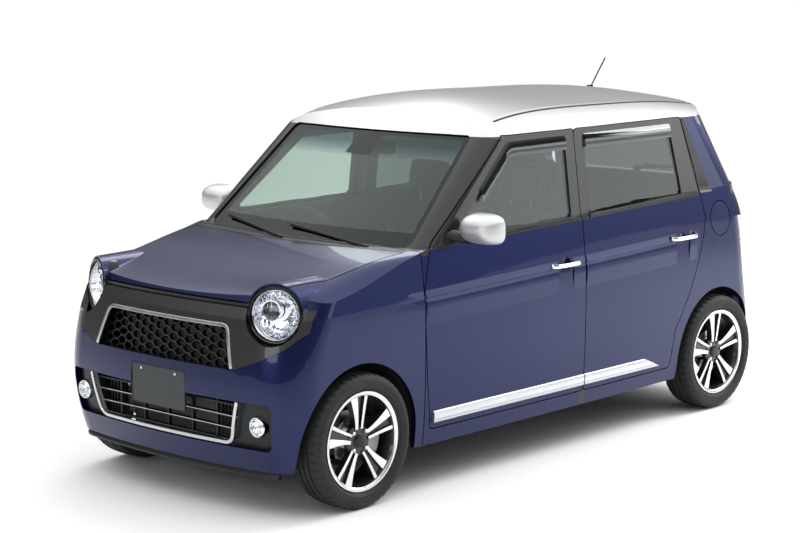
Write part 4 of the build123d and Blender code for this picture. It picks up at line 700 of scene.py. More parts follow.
def rounded_corners(points, radius, steps=6):
    """An open chain of points with each inner corner replaced by a short curve."""
    points = [Vector(point) for point in points]
    path = [points[0]]
    for before, corner, after in zip(points, points[1:], points[2:]):
        back = min(radius, (before - corner).length * 0.48)
        ahead = min(radius, (after - corner).length * 0.48)
        start = corner + (before - corner).normalized() * back
        end = corner + (after - corner).normalized() * ahead
        for k in range(steps + 1):
            t = k / steps
            path.append(start.lerp(corner, t).lerp(corner.lerp(end, t), t))
    path.append(points[-1])
    return path


def resampled(path, spacing):
    """Points at an even spacing along a path."""
    out = [path[0].copy()]
    for start, end in zip(path, path[1:]):
        count = max(1, ceil((end - start).length / spacing))
        out.extend(start.lerp(end, k / count) for k in range(1, count + 1))
    return out


# Wheels. Half a tyre's section, from the bead to the shoulder, as (radius, along)
TYRE_HALF = [
    (0.2085, 0.0635), (0.2125, 0.0690), (0.2190, 0.0745), (0.2230, 0.0772), (0.2245, 0.0790),
    (0.2275, 0.0795), (0.2300, 0.0786), (0.2370, 0.0806), (0.2450, 0.0818), (0.2520, 0.0812),
    (0.2580, 0.0795), (0.2635, 0.0765), (0.2675, 0.0735), (0.2715, 0.0722), (0.2745, 0.0690),
    (0.2768, 0.0640), (0.2785, 0.0560), (0.2795, 0.0470), (0.2800, 0.0400), (0.2802, 0.0345),
]
TYRE_SEGMENTS = 240
WHEEL_SPOKES = 5


def wheel_frame(end, side):
    """A wheel's centre and its outward direction."""
    low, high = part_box(f"wheel_{end}_{side}_tyre")
    return (low + high) / 2, Vector((0.0, SIDES[side], 0.0))


def tyre_profile(depth):
    """The tyre's section, inner bead to outer bead, with three grooves; True marks shoulder points."""
    tread = [
        (0.2802, 0.0345, False), (0.2802 - depth, 0.0335, False), (0.2802 - depth, 0.0255, False),
        (0.2806, 0.0245, False), (0.2809, 0.0140, False), (0.2810, 0.0048, False),
        (0.2810 - depth, 0.0040, False),
    ]
    half = [(radius, along, along > 0.036 and radius > 0.271) for radius, along in TYRE_HALF[:-1]] + tread
    return half + [(radius, -along, mark) for radius, along, mark in reversed(half)]


def build_tyres():
    """Four tyres with bulging sidewalls, three grooves and shoulder cuts."""
    depth = sizes().tyre_groove_depth
    profile = tyre_profile(depth)
    for end in ENDS:
        for side in SIDES:
            centre, out = wheel_frame(end, side)
            rings = []
            for step, angle in enumerate(turns(TYRE_SEGMENTS)):
                cut = depth * 0.8 if step % 5 == 0 else 0.0
                spoke = Vector((cos(angle), 0.0, sin(angle)))
                rings.append([
                    centre + out * along + spoke * (radius - (cut if mark else 0.0))
                    for radius, along, mark in profile
                ])
            body = f"wheel_{end}_{side}"
            Shape().rings(rings, closed_ring=False, closed_path=True).make(
                f"tyre_{end}_{side}", "tyre", body, 28.0, [f"{body}_tyre"],
            )


# The blades of one spoke, as offsets square to its axis at the hub and at the rim, and the curve between
BLADES = {
    "broad": ((-0.0080, -0.0235, -0.0200, -0.0640), 1.5),
    "narrow": ((0.0190, 0.0075, 0.0400, 0.0225), 1.3),
}
BLADE_INNER = 0.050
BLADE_OUTER = 0.1915
BLADE_STEPS = 12
FACE_HUB = 0.0500
FACE_RIM = 0.0600
RIM_PROFILE = [
    (0.1900, 0.0640), (0.1935, 0.0668), (0.2000, 0.0690), (0.2062, 0.0698), (0.2070, 0.0690),
    (0.2068, 0.0600), (0.1935, 0.0575), (0.1840, 0.0300), (0.1820, -0.0480), (0.1940, -0.0590),
    (0.2068, -0.0620), (0.2068, -0.0698), (0.1980, -0.0698), (0.1800, -0.0500), (0.1755, -0.0470),
    (0.1755, 0.0300), (0.1860, 0.0560),
]


def blade_edge(start, end, share, power):
    """How far off the spoke's axis a blade's edge lies."""
    return start + (end - start) * share ** power


HUB_PROFILE = [
    (0.0, 0.0470), (0.0300, 0.0470), (0.0310, 0.0440), (0.0600, 0.0430), (0.0650, 0.0380), (0.0660, 0.0200),
    (0.0600, 0.0180), (0.0, 0.0180),
]
CAP_PROFILE = [
    (0.0, 0.0515), (0.0180, 0.0510), (0.0260, 0.0495), (0.0285, 0.0470), (0.0285, 0.0440), (0.0, 0.0440),
]
NUT_PROFILE = [
    (0.0, 0.0560), (0.0055, 0.0556), (0.0080, 0.0535), (0.0092, 0.0520), (0.0092, 0.0420), (0.0, 0.0420),
]
DISC_PROFILE = [
    (0.0600, 0.0080), (0.0600, 0.0010), (0.0955, 0.0010), (0.0960, 0.0000), (0.0960, -0.0070),
    (0.0955, -0.0080), (0.0620, -0.0080), (0.0600, -0.0060), (0.0560, 0.0020), (0.0560, 0.0170),
    (0.0600, 0.0180),
]
BLADE_BEVEL = 0.0016
FLOOR_INNER = 0.036
NUT_CIRCLE = 0.05


def add_spoke(faces, channels, at, angle):
    """One spoke: two bevelled blades with their flanks, and the dark floor between them."""
    for (a_in, b_in, a_out, b_out), power in BLADES.values():
        top, flanks = [], []
        for step in range(BLADE_STEPS + 1):
            share = step / BLADE_STEPS
            radial = BLADE_INNER + (BLADE_OUTER - BLADE_INNER) * share
            first = blade_edge(a_in, a_out, share, power)
            second = blade_edge(b_in, b_out, share, power)
            height = FACE_HUB + (FACE_RIM - FACE_HUB) * share ** 0.8
            lower = height - BLADE_BEVEL
            top.append([
                at(radial, first, lower, angle), at(radial, first - BLADE_BEVEL, height, angle),
                at(radial, second + BLADE_BEVEL, height, angle), at(radial, second, lower, angle),
            ])
            flanks.append([
                at(radial, second, lower, angle), at(radial, second - 0.002, height - 0.030, angle),
                at(radial, first + 0.002, height - 0.030, angle), at(radial, first, lower, angle),
            ])
        faces.rings(top, closed_ring=False)
        channels.rings(flanks, closed_ring=False)
    floor = []
    for step in range(BLADE_STEPS + 1):
        share = step / BLADE_STEPS
        radial = FLOOR_INNER + (BLADE_OUTER - FLOOR_INNER) * share
        height = FACE_HUB + (FACE_RIM - FACE_HUB) * share - 0.012
        low_edge = blade_edge(-0.014, -0.022, share, 1.5) - 0.002
        high_edge = blade_edge(0.012, 0.026, share, 1.3) + 0.002
        floor.append([
            at(radial, high_edge, height, angle), at(radial, low_edge, height, angle),
            at(radial, low_edge, height - 0.016, angle), at(radial, high_edge, height - 0.016, angle),
        ])
    channels.rings(floor, caps=True)


def build_rims():
    """Four wheels: barrel, lip, five pairs of unequal blades, dark channels, hub, cap, nuts and disc."""
    for end in ENDS:
        for side, turn in SIDES.items():
            centre, out = wheel_frame(end, side)
            corner = f"{end}_{side}"
            body = f"wheel_{corner}"

            def at(radial, off, along, angle):
                """A point from its place on a spoke."""
                x = radial * cos(angle) - off * turn * sin(angle)
                z = radial * sin(angle) + off * turn * cos(angle)
                return centre + Vector((x, 0.0, z)) + out * along

            Shape().lathe(RIM_PROFILE[5:] + RIM_PROFILE[:1], centre, out, 120).make(
                f"rim_barrel_{corner}", "wheel_black", body, 35.0, [f"{body}_rim"],
            )
            faces = Shape().lathe(RIM_PROFILE[:6], centre, out, 120)
            channels = Shape()
            for spoke in range(WHEEL_SPOKES):
                add_spoke(faces, channels, at, pi / 2 + 2 * pi * spoke / WHEEL_SPOKES)
            faces.make(f"rim_faces_{corner}", "machined", body, 30.0)
            channels.lathe(HUB_PROFILE, centre, out, 60).make(
                f"rim_channels_{corner}", "wheel_black", body, 35.0,
            )
            Shape().lathe(CAP_PROFILE, centre, out, 48).make(f"wheel_cap_{corner}", "gloss_black", body, 35.0)
            nuts = Shape()
            for nut in range(4):
                angle = pi / 4 + pi * nut / 2
                middle = centre + Vector((NUT_CIRCLE * cos(angle), 0.0, NUT_CIRCLE * sin(angle)))
                nuts.lathe(NUT_PROFILE, middle, out, 6)
            nuts.make(f"wheel_nuts_{corner}", "satin", body, 20.0)
            Shape().lathe(DISC_PROFILE, centre, out, 72, closed=True).make(
                f"brake_disc_{corner}", "satin", body, 30.0, slot="steel",
            )


# Lamps
LAMP_CENTRE = (1.556, 0.556, 0.825)
LAMP_TOE = radians(23.0)
LAMP_LIFT = 0.08


def lamp_place(sign):
    """A head lamp's centre and the way it looks."""
    x, y, z = LAMP_CENTRE
    return Vector((x, sign * y, z)), Vector((cos(LAMP_TOE), sign * sin(LAMP_TOE), LAMP_LIFT)).normalized()


# Turned parts as (name, finish, segments, sharp angle, profile of (radius, along))
LAMP_RINGS = (
    ("bezel", "gloss_black", 128, 30.0, [
        (0.1042, -0.0120), (0.1045, -0.0035), (0.1070, 0.0000), (0.1120, 0.0010), (0.1175, -0.0010),
        (0.1208, -0.0060), (0.1209, -0.0740), (0.0600, -0.0745), (0.0600, -0.0700), (0.1000, -0.0640),
    ]),
    ("ring", "reflector", 128, 30.0, [
        (0.0985, -0.0125), (0.1010, -0.0105), (0.1035, -0.0125), (0.1020, -0.0200), (0.0930, -0.0310),
        (0.0905, -0.0290),
    ]),
)
PROJECTOR_PARTS = (
    ("projector_ring", "reflector", 64, 30.0, [
        (0.0390, -0.0600), (0.0400, -0.0260), (0.0425, -0.0200), (0.0410, -0.0170), (0.0370, -0.0180),
        (0.0345, -0.0240), (0.0330, -0.0300),
    ]),
    ("projector", "lens", 48, 40.0, [
        (0.0, -0.0130), (0.0120, -0.0145), (0.0220, -0.0190), (0.0300, -0.0265), (0.0335, -0.0320),
        (0.0, -0.0340),
    ]),
    ("projector_back", "gloss_black", 40, 30.0, [
        (0.0, -0.0400), (0.0330, -0.0400), (0.0330, -0.0440), (0.0, -0.0440),
    ]),
)
# The reflector's rows as (radius, along, how much of the facets they take)
REFLECTOR_ROWS = (
    (0.0915, -0.030, 0.0), (0.0860, -0.040, 1.0), (0.0740, -0.052, 1.0), (0.0560, -0.061, 1.0),
    (0.0300, -0.066, 0.5), (0.0010, -0.0665, 0.0),
)
FACET_OUT, FACET_IN = 0.0012, -0.0006
FIN_SECTION = [(-0.0012, -0.004), (0.0012, -0.004), (0.0012, 0.004), (-0.0012, 0.004)]


def build_head_lamps():
    """Two round head lamps: black bezel, bright rings, faceted reflector, projector, bulbs and fins."""
    for side, sign in SIDES.items():
        centre, look = lamp_place(sign)
        for name, tone, segments, sharp, profile in LAMP_RINGS:
            Shape().lathe(profile, centre, look, segments, closed=True).make(
                f"lamp_{name}_{side}", tone, "body", sharp, ["headlamp_bowls"] if name == "bezel" else (),
            )
        axis, across, up = turned_axes(look)
        rings = []
        for step, angle in enumerate(turns(96)):
            facet = FACET_OUT if step % 4 < 2 else FACET_IN
            spoke = across * cos(angle) + up * sin(angle)
            rings.append([
                centre + spoke * (radius + facet * weight) + axis * along
                for radius, along, weight in REFLECTOR_ROWS
            ])
        Shape().rings(rings, closed_ring=False, closed_path=True).make(
            f"lamp_reflector_{side}", "reflector", "body", 14.0,
        )
        projector_centre = centre + up * 0.016 - across * sign * 0.024
        for name, tone, segments, sharp, profile in PROJECTOR_PARTS:
            Shape().lathe(profile, projector_centre, look, segments).make(
                f"lamp_{name}_{side}", tone, "body", sharp,
            )
        bulbs = Shape()
        for shift, radius in ((-0.050, 0.0095), (-0.066, 0.0065)):
            bulbs.lathe([
                (0.0, -0.0280), (radius * 0.6, -0.0300), (radius, -0.0380), (radius, -0.0580), (0.0, -0.0580),
            ], centre + up * shift + across * sign * 0.030, look, 24)
        bulbs.make(f"lamp_bulbs_{side}", "satin", "body", 35.0)
        fins = Shape()
        for k in range(3):
            offset = across * sign * (-0.030 - 0.018 * k)
            start = centre + offset - up * 0.074 + axis * (-0.034)
            end = centre + offset + up * 0.070 + axis * (-0.034)
            path = [start.lerp(end, t / 8) + axis * (-0.012 * sin(pi * t / 8)) for t in range(9)]
            fins.sweep(path, [axis] * len(path), FIN_SECTION)
        fins.make(f"lamp_fins_{side}", "reflector", "body", 40.0)


FOG_PLACE = (1.616, 0.538, 0.384)


def build_fog_lamps():
    """Two round fog lamps: bright ring, reflector, bulb and clear lens."""
    x, y, z = FOG_PLACE
    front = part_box("fog_lamps")[1].x - x
    parts = (
        ("ring", "bright", 64, 30.0, [
            (0.0345, front - 0.006), (0.0360, front - 0.003), (0.0390, front - 0.003),
            (0.0415, front - 0.008), (0.0415, 0.002), (0.0340, 0.002),
        ]),
        ("reflector", "reflector", 32, 12.0, [
            (0.0338, front - 0.010), (0.0280, 0.012), (0.0160, 0.005), (0.0, 0.003),
        ]),
        ("bulb", "satin", 24, 30.0, [
            (0.0, front - 0.013), (0.0060, front - 0.015), (0.0080, front - 0.020), (0.0080, 0.006),
            (0.0, 0.004),
        ]),
        ("lens", "lens", 48, 40.0, [
            (0.0, front - 0.0005), (0.0150, front - 0.0015), (0.0270, front - 0.0040),
            (0.0345, front - 0.0075),
        ]),
    )
    for side, sign in SIDES.items():
        centre = Vector((x, sign * y, z))
        for name, tone, segments, sharp, profile in parts:
            whole = name == "ring"
            Shape().lathe(profile, centre, AHEAD, segments, closed=whole).make(
                f"fog_{name}_{side}", tone, "body", sharp, ["fog_lamps"] if whole else (),
            )


# The stage
CAMERA_PLACE = (7.1536, 6.4331, 2.2827)
CAMERA_YAW = 222.889
CAMERA_PITCH = -8.867
CAMERA_ROLL = -0.219
CAMERA_LENS = 93.74
CAMERA_SENSOR = 36.0


def build_camera():
    """The camera at the photograph's place."""
    data = bpy.data.cameras.new("camera")
    data.sensor_width = CAMERA_SENSOR
    data.lens = CAMERA_LENS
    data.clip_end = 200.0
    camera = bpy.data.objects.new("camera", data)
    yaw, pitch, roll = radians(CAMERA_YAW), radians(CAMERA_PITCH), radians(CAMERA_ROLL)
    look = Vector((cos(pitch) * cos(yaw), cos(pitch) * sin(yaw), sin(pitch)))
    right = look.cross(UP).normalized()
    up = right.cross(look)
    rolled_right = right * cos(roll) + up * sin(roll)
    rolled_up = up * cos(roll) - right * sin(roll)
    turn = Matrix((rolled_right, rolled_up, -look)).transposed().to_4x4()
    camera.matrix_world = Matrix.Translation(Vector(CAMERA_PLACE)) @ turn
    bpy.context.scene.collection.objects.link(camera)
    bpy.context.scene.camera = camera


# Soft boxes. Columns: name, place, aimed at, width, height, power
SOFT_BOXES = [
    ("left_side", (-5.2, 6.2, 2.0), (0.0, 0.7, 0.95), 6.5, 1.5, 70.0),
    ("nose", (6.8, 1.0, 2.2), (1.4, 0.0, 0.6), 3.0, 1.2, 45.0),
    ("bonnet", (-1.0, -2.3, 4.1), (0.95, 0.3, 1.0), 2.4, 1.2, 40.0),
    ("tail", (-6.5, 2.5, 2.6), (-1.2, 0.0, 0.9), 4.0, 1.2, 60.0),
    ("shoulder", (-4.4, 2.1, 4.3), (-0.5, 0.7, 1.0), 2.2, 4.0, 200.0),
]
# The studio's sky: dim near the horizon, bright overhead
SKY_LOW, SKY_HIGH = 0.16, 1.62
SKY_FROM, SKY_TO = 0.34, 0.72


def build_stage():
    """A pale floor and a pale world with soft boxes."""
    half = sizes().floor_size / 2
    mesh = bpy.data.meshes.new("floor")
    mesh.from_pydata([
        (-half, -half, 0.0), (half, -half, 0.0), (half, half, 0.0), (-half, half, 0.0),
    ], [], [(0, 1, 2, 3)])
    floor = bpy.data.objects.new("floor", mesh)
    bpy.context.scene.collection.objects.link(floor)
    material, _, _ = shader_base("floor_white", (0.92, 0.92, 0.92), 0.6, Specular_IOR_Level=0.2)
    mesh.materials.append(material)
    world = bpy.data.worlds.new("studio")
    bpy.context.scene.world = world
    world.use_nodes = True
    tree = world.node_tree
    sky = tree.nodes["Background"]
    sky.inputs["Color"].default_value = (1.0, 1.0, 1.0, 1.0)
    direction = add_node(tree, "ShaderNodeTexCoord").outputs["Generated"]
    height = axis_of(tree, direction, "Z")
    tree.links.new(ranged(tree, height, SKY_FROM, SKY_TO, SKY_LOW, SKY_HIGH), sky.inputs["Strength"])
    for name, place, aim, width, height, power in SOFT_BOXES:
        data = bpy.data.lights.new(name, "AREA")
        data.shape = "RECTANGLE"
        data.size = width
        data.size_y = height
        data.energy = power
        light = bpy.data.objects.new(name, data)
        light.location = place
        light.rotation_euler = (Vector(aim) - Vector(place)).to_track_quat("-Z", "Y").to_euler()
        bpy.context.scene.collection.objects.link(light)
    bpy.context.scene.view_settings.view_transform = "Standard"


# Paths laid on the body
SMOOTHING_PASSES = 6


def smoothed(directions):
    """Directions along a path, each one averaged with its neighbours."""
    for _ in range(SMOOTHING_PASSES):
        last = len(directions) - 1
        directions = [
            (directions[max(0, i - 1)] + directions[i] * 2 + directions[min(last, i + 1)]).normalized()
            for i in range(len(directions))
        ]
    return directions


# Where the rays that lay a path start, well clear of the car
RAY_FRONT, RAY_REAR, RAY_SIDE, RAY_TOP = 2.2, -2.4, 1.4, 2.2


def laid_from_front(tree, points):
    """Points of (y, z) carried back on to the nose; returns the path and its outward directions."""
    return laid(tree, [((RAY_FRONT, y, z), (-1.0, 0.0, 0.0)) for y, z in points])


def laid_from_rear(tree, points):
    """Points of (y, z) carried forward on to the tail."""
    return laid(tree, [((RAY_REAR, y, z), (1.0, 0.0, 0.0)) for y, z in points])


def laid_from_side(tree, points, sign, lift=0.0):
    """Points of (x, z) carried inward on to one side, and lifted off it."""
    return laid(tree, [((x, sign * RAY_SIDE, z), (0.0, -sign, 0.0)) for x, z in points], lift)


def laid_from_above(tree, points):
    """Points of (x, y) carried down on to the body."""
    return laid(tree, [((x, y, RAY_TOP), (0.0, 0.0, -1.0)) for x, y in points])


def laid(tree, rays, lift=0.0):
    """Where rays meet a surface; a ray that meets nothing takes its neighbour's distance."""
    hits = [drop(tree, start, direction) for start, direction in rays]
    found = [i for i, (place, _) in enumerate(hits) if place is not None]
    if not found:
        raise RuntimeError("a path met no surface")
    path, outward = [], []
    for i, (start, direction) in enumerate(rays):
        place, normal = hits[i]
        if place is None:
            near = min(found, key=lambda j: abs(j - i))
            near_place, normal = hits[near]
            reach = (near_place - Vector(rays[near][0])).dot(Vector(rays[near][1]))
            place = Vector(start) + Vector(direction) * reach
        path.append(place)
        outward.append(normal)
    outward = smoothed(outward)
    return [place + out * lift for place, out in zip(path, outward)], outward


def strip_section(width, proud, sunk=0.003, edge=0.0018):
    """A flat strip's section with eased edges, standing proud of what it lies on."""
    half = width / 2
    return [
        (-half, -sunk), (half, -sunk), (half, proud - edge), (half - edge, proud), (0.0, proud * 1.06),
        (edge - half, proud), (-half, proud - edge),
    ]


# The face. Corners are (y, z); the mesh's front is a leaning, bowed sheet
ARCH_BOTTOM = (0.4165, 0.608)
ARCH_TOP = (0.3655, 0.7715)
SMILE_BOTTOM = (0.405, 0.301)
SMILE_TOP = (0.4745, 0.560)
MESH_LOW, MESH_HIGH = 0.599, 0.797
MESH_NOSE, MESH_LEAN, MESH_BOW, MESH_REACH = 1.666, 0.25, 0.0558, 0.640
MOUTH_SLATS = (0.3085, 0.3575, 0.4065, 0.4555)


def grille_half(height, grow=0.0):
    """Half the upper grille's width at a height."""
    return 0.428 - (0.428 - 0.372) * (height - 0.564) / 0.216 + grow


def mesh_x(y, z):
    """The front of the upper mesh."""
    return MESH_NOSE - MESH_LEAN * (z - MESH_LOW) - MESH_BOW * (y / MESH_REACH) ** 2


SMILE_END = 0.478


def build_bright_trims():
    """The bright arch over the upper grille and the bright band round the mouth."""
    section = strip_section(sizes().trim_width, 0.0045)
    tree = tree_of("grille_trims", "face_panel", "front_bumper")
    shape = Shape()
    (ya, za), (yb, zb) = ARCH_BOTTOM, ARCH_TOP
    arch = rounded_corners([(-ya, za, 0.0), (-yb, zb, 0.0), (yb, zb, 0.0), (ya, za, 0.0)], 0.030)
    (ya, za), (yb, zb) = SMILE_BOTTOM, SMILE_TOP
    y_end = ya + (yb - ya) * (SMILE_END - za) / (zb - za)
    smile = rounded_corners(
        [(-y_end, SMILE_END, 0.0), (-ya, za, 0.0), (ya, za, 0.0), (y_end, SMILE_END, 0.0)], 0.040,
    )
    for chain in (arch, smile):
        path, outward = laid_from_front(tree, [(p.x, p.y) for p in resampled(chain, 0.012)])
        shape.sweep(path, outward, section)
    shape.make("bright_trims", "satin", "body", 30.0, ["grille_trims"])


CELL_SHAPE = 0.58
CELL_WALL, CELL_DEPTH = 0.0034, 0.016
HEXAGON = ((0.25, 0.5), (0.5, 0.0), (0.25, -0.5), (-0.25, -0.5), (-0.5, 0.0), (-0.25, 0.5))


def build_upper_mesh():
    """The upper grille: wide six-sided cells with deep thin walls."""
    wide = sizes().hex_pitch
    tall = wide * CELL_SHAPE
    shape = Shape()
    rows = int((MESH_HIGH - MESH_LOW) / (tall / 2)) + 2
    steps = (
        (0.0, -CELL_DEPTH), (0.0, 0.0), (CELL_WALL * 0.5, 0.0008), (CELL_WALL, 0.0),
        (CELL_WALL * 1.2, -CELL_DEPTH),
    )
    for row in range(-1, rows + 1):
        z = MESH_LOW + row * tall / 2
        shift = 0.75 * wide if row % 2 else 0.0
        for column in range(-6, 7):
            y = column * 1.5 * wide + shift
            if abs(y) > grille_half(z, 0.5 * wide):
                continue
            rings = []
            for inset, back in steps:
                scale = 1.0 - inset / (tall / 2)
                ring = []
                for dy, dz in HEXAGON:
                    pz = min(max(z + dz * tall * scale, MESH_LOW), MESH_HIGH)
                    limit = grille_half(pz, 0.011)
                    py = min(max(y + dy * wide * scale, -limit), limit)
                    ring.append(Vector((mesh_x(py, pz) - 0.0012 + back, py, pz)))
                rings.append(ring)
            shape.rings(rings)
    shape.make("grille_mesh", "gloss_black", "body", 25.0, ["upper_grille"])


def build_lip_strip():
    """The black strip under the bonnet's lip, from lamp to lamp, and the lip under the bumper."""
    tree = tree_of("face_panel", "bonnet_panel")
    points = [-0.452 + 0.904 * k / 48 for k in range(49)]
    low, out_low = laid_from_front(tree, [(y, 0.840) for y in points])
    high, out_high = laid_from_front(tree, [(y, 0.880) for y in points])
    path = [(a + b) / 2 - Vector((0.006, 0.0, 0.0)) for a, b in zip(low, high)]
    for point in path:
        point.z = 0.8545
    section = [
        (-0.0078, -0.016), (0.0078, -0.016), (0.0078, -0.002), (0.0060, 0.0), (-0.0060, 0.0),
        (-0.0078, -0.002),
    ]
    outward = [Vector((a.x + b.x, a.y + b.y, 0.0)).normalized() for a, b in zip(out_low, out_high)]
    Shape().sweep(path, outward, section).make("lip_strip", "gloss_black", "body", 30.0)
    points = [-0.60 + 1.2 * k / 60 for k in range(61)]
    path, outward = laid_from_front(tree_of("front_bumper"), [(y, 0.206) for y in points])
    outward = [Vector((out.x, out.y, 0.0)).normalized() for out in outward]
    path = [Vector((p.x, p.y, 0.181)) - out * 0.013 for p, out in zip(path, outward)]
    section = [
        (-0.012, -0.020), (0.013, -0.020), (0.013, 0.006), (0.004, 0.008), (-0.008, 0.004), (-0.012, 0.0),
    ]
    Shape().sweep(path, outward, section).make("bumper_lip", "black", "body", 30.0)


SLAT_FRONT = 1.6445
LOUVRE_X, LOUVRE_LOW, LOUVRE_HIGH = 1.600, 0.300, 0.470
PLATE_BOLTS = (-0.105, 0.105)
TOW_COVER = (0.455, 0.560, 0.024)


def build_mouth():
    """Thin bright edges on the lower slats, end louvres, the plate's holder and the towing cover."""
    edges = Shape()
    for height in MOUTH_SLATS[:3]:
        half = 0.398 + (height - 0.301) * 0.27
        path = [Vector((SLAT_FRONT + 0.0006, -half + 2 * half * k / 20, height + 0.0025)) for k in range(21)]
        edges.sweep(path, [AHEAD] * 21, [
            (-0.0011, -0.001), (0.0011, -0.001), (0.0011, 0.001), (-0.0011, 0.001),
        ])
    edges.make("slat_edges", "satin", "body", 30.0)
    louvres = Shape()
    for sign in SIDES.values():
        for k in range(5):
            y = sign * (0.300 + 0.020 * k)
            louvres.rings([
                [
                    Vector((LOUVRE_X, y, z)), Vector((LOUVRE_X, y + sign * 0.004, z)),
                    Vector((LOUVRE_X + 0.020, y + sign * 0.010, z)),
                    Vector((LOUVRE_X + 0.020, y + sign * 0.006, z)),
                ]
                for z in (LOUVRE_LOW, LOUVRE_HIGH)
            ], caps=True)
    louvres.make("mouth_louvres", "black", "body", 30.0)
    low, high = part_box("number_plate")
    chain = closed_loop([(low.y, low.z), (high.y, low.z), (high.y, high.z), (low.y, high.z)], 0.010)
    path = [Vector((high.x - 0.0005, p.x, p.y)) for p in chain]
    Shape().sweep(path, [AHEAD] * len(path), [
        (-0.0030, -0.004), (0.0020, -0.004), (0.0020, 0.0018), (-0.0010, 0.0026), (-0.0030, 0.0018),
    ]).make("plate_frame", "black", "body", 30.0)
    bolts = Shape()
    for y in PLATE_BOLTS:
        bolts.lathe([(0.0, 0.0040), (0.0040, 0.0036), (0.0065, 0.0018), (0.0065, -0.001)],
                    Vector((high.x, y, high.z - 0.018)), AHEAD, 16)
    bolts.make("plate_bolts", "satin", "body", 35.0)
    y, z, half = TOW_COVER
    square = [(y - half, z - half), (y + half, z - half), (y + half, z + half), (y - half, z + half)]
    path, outward = laid_from_front(tree_of("front_bumper"), [(p.x, p.y) for p in closed_loop(square, 0.009)])
    Shape().sweep(path, outward, [
        (-0.0008, -0.001), (0.0008, -0.001), (0.0008, 0.0003), (-0.0008, 0.0003),
    ]).make("tow_cover_seam", "rubber", "body", 30.0)


# Door trims
HANDLES = {"front": (-0.072, 0.858), "rear": (-0.980, 0.884)}
HANDLE_SKIN_Y = 0.727
STRIP_LOW, STRIP_HIGH = 0.286, 0.336
STRIP_RUNS = {"front": ((-0.213, -0.213), (0.806, 0.806)), "rear": ((-0.798, -0.680), (-0.220, -0.220))}
MIRROR_CENTRE = (0.606, 0.812, 1.092)


def build_handles_and_strips():
    """Bright handles over their bowls and the silver strips along the foot of the doors."""
    for side, sign in SIDES.items():
        for end, (handle_x, handle_z) in HANDLES.items():
            body = f"{end}_door_{side}"
            half_route = [(-0.097, -0.014), (-0.093, 0.006), (-0.080, 0.020), (-0.050, 0.0245), (0.0, 0.0260)]
            route = half_route + [(-x, y) for x, y in reversed(half_route[:-1])]
            path = smooth_path([(handle_x + x, sign * (HANDLE_SKIN_Y + y), handle_z) for x, y in route], 6)
            outward = []
            for i in range(len(path)):
                ahead = path[min(i + 1, len(path) - 1)] - path[max(i - 1, 0)]
                outward.append(ahead.cross(UP).normalized() * -sign)
            section = [
                (-0.0098, 0.0), (-0.0085, -0.0052), (-0.004, -0.0065), (0.004, -0.0065), (0.0085, -0.0052),
                (0.0098, 0.0), (0.0085, 0.0030), (0.004, 0.0042), (-0.004, 0.0042), (-0.0085, 0.0030),
            ]
            Shape().sweep(path, outward, section).make(
                f"handle_{end}_{side}", "bright", body, 50.0, [f"{end}_door_{side}_trim"],
            )
            pads = Shape()
            for x in (-0.098, 0.098):
                pads.lathe(
                    [(0.0, 0.006), (0.012, 0.0055), (0.0165, 0.002), (0.017, -0.020)],
                    Vector((handle_x + x, sign * (HANDLE_SKIN_Y - 0.004), handle_z)), (0.0, sign, 0.0), 24,
                )
            pads.make(f"handle_feet_{end}_{side}", "gloss_black", body, 35.0)
            (rear_low, rear_high), (front_low, front_high) = STRIP_RUNS[end]
            rings = []
            for k in range(25):
                share = k / 24
                ring = []
                for height, y in (
                    (STRIP_LOW, 0.706), (STRIP_LOW, 0.7255), (STRIP_LOW + 0.003, 0.7290),
                    (STRIP_LOW + 0.012, 0.7305), (STRIP_LOW + 0.0135, 0.7275), (STRIP_LOW + 0.0160, 0.7275),
                    (STRIP_LOW + 0.0175, 0.7310), (STRIP_HIGH - 0.010, 0.7318), (STRIP_HIGH - 0.003, 0.7295),
                    (STRIP_HIGH, 0.7240), (STRIP_HIGH, 0.706),
                ):
                    up = (height - STRIP_LOW) / (STRIP_HIGH - STRIP_LOW)
                    rear = rear_low + (rear_high - rear_low) * up
                    front = front_low + (front_high - front_low) * up
                    ring.append(Vector((rear + (front - rear) * share, sign * y, height)))
                rings.append(ring)
            Shape().rings(rings, caps=True).make(f"sill_strip_{end}_{side}", "satin", body, 25.0)


MIRROR_SQUARENESS = 0.62
# Rows of (x, half width, half height, shift toward the door), from the glass to the front
MIRROR_ROWS = [
    (-0.0380, 0.1030, 0.0660, 0.0), (-0.0330, 0.1030, 0.0660, 0.0), (-0.0150, 0.1005, 0.0640, 0.0),
    (0.0050, 0.0965, 0.0605, 0.0005), (0.0230, 0.0895, 0.0545, 0.0015), (0.0390, 0.0790, 0.0455, 0.003),
    (0.0510, 0.0650, 0.0340, 0.005), (0.0580, 0.0470, 0.0220, 0.006), (0.0605, 0.0230, 0.0100, 0.007),
    (0.0608, 0.0010, 0.0005, 0.008),
]
MIRROR_RIM = [
    (-0.0330, 0.1028, 0.0658), (-0.0380, 0.1020, 0.0650), (-0.0380, 0.0960, 0.0590),
    (-0.0300, 0.0940, 0.0570), (-0.0300, 0.0010, 0.0010),
]
MIRROR_PANE = [(-0.0305, 0.0935, 0.0565), (-0.0325, 0.0925, 0.0555), (-0.0325, 0.0010, 0.0010)]
MIRROR_SLOT = -0.30
MIRROR_FOOT = [(0.640, 0.690, 1.062), (0.625, 0.712, 1.052), (0.610, 0.745, 1.044), (0.602, 0.785, 1.046)]


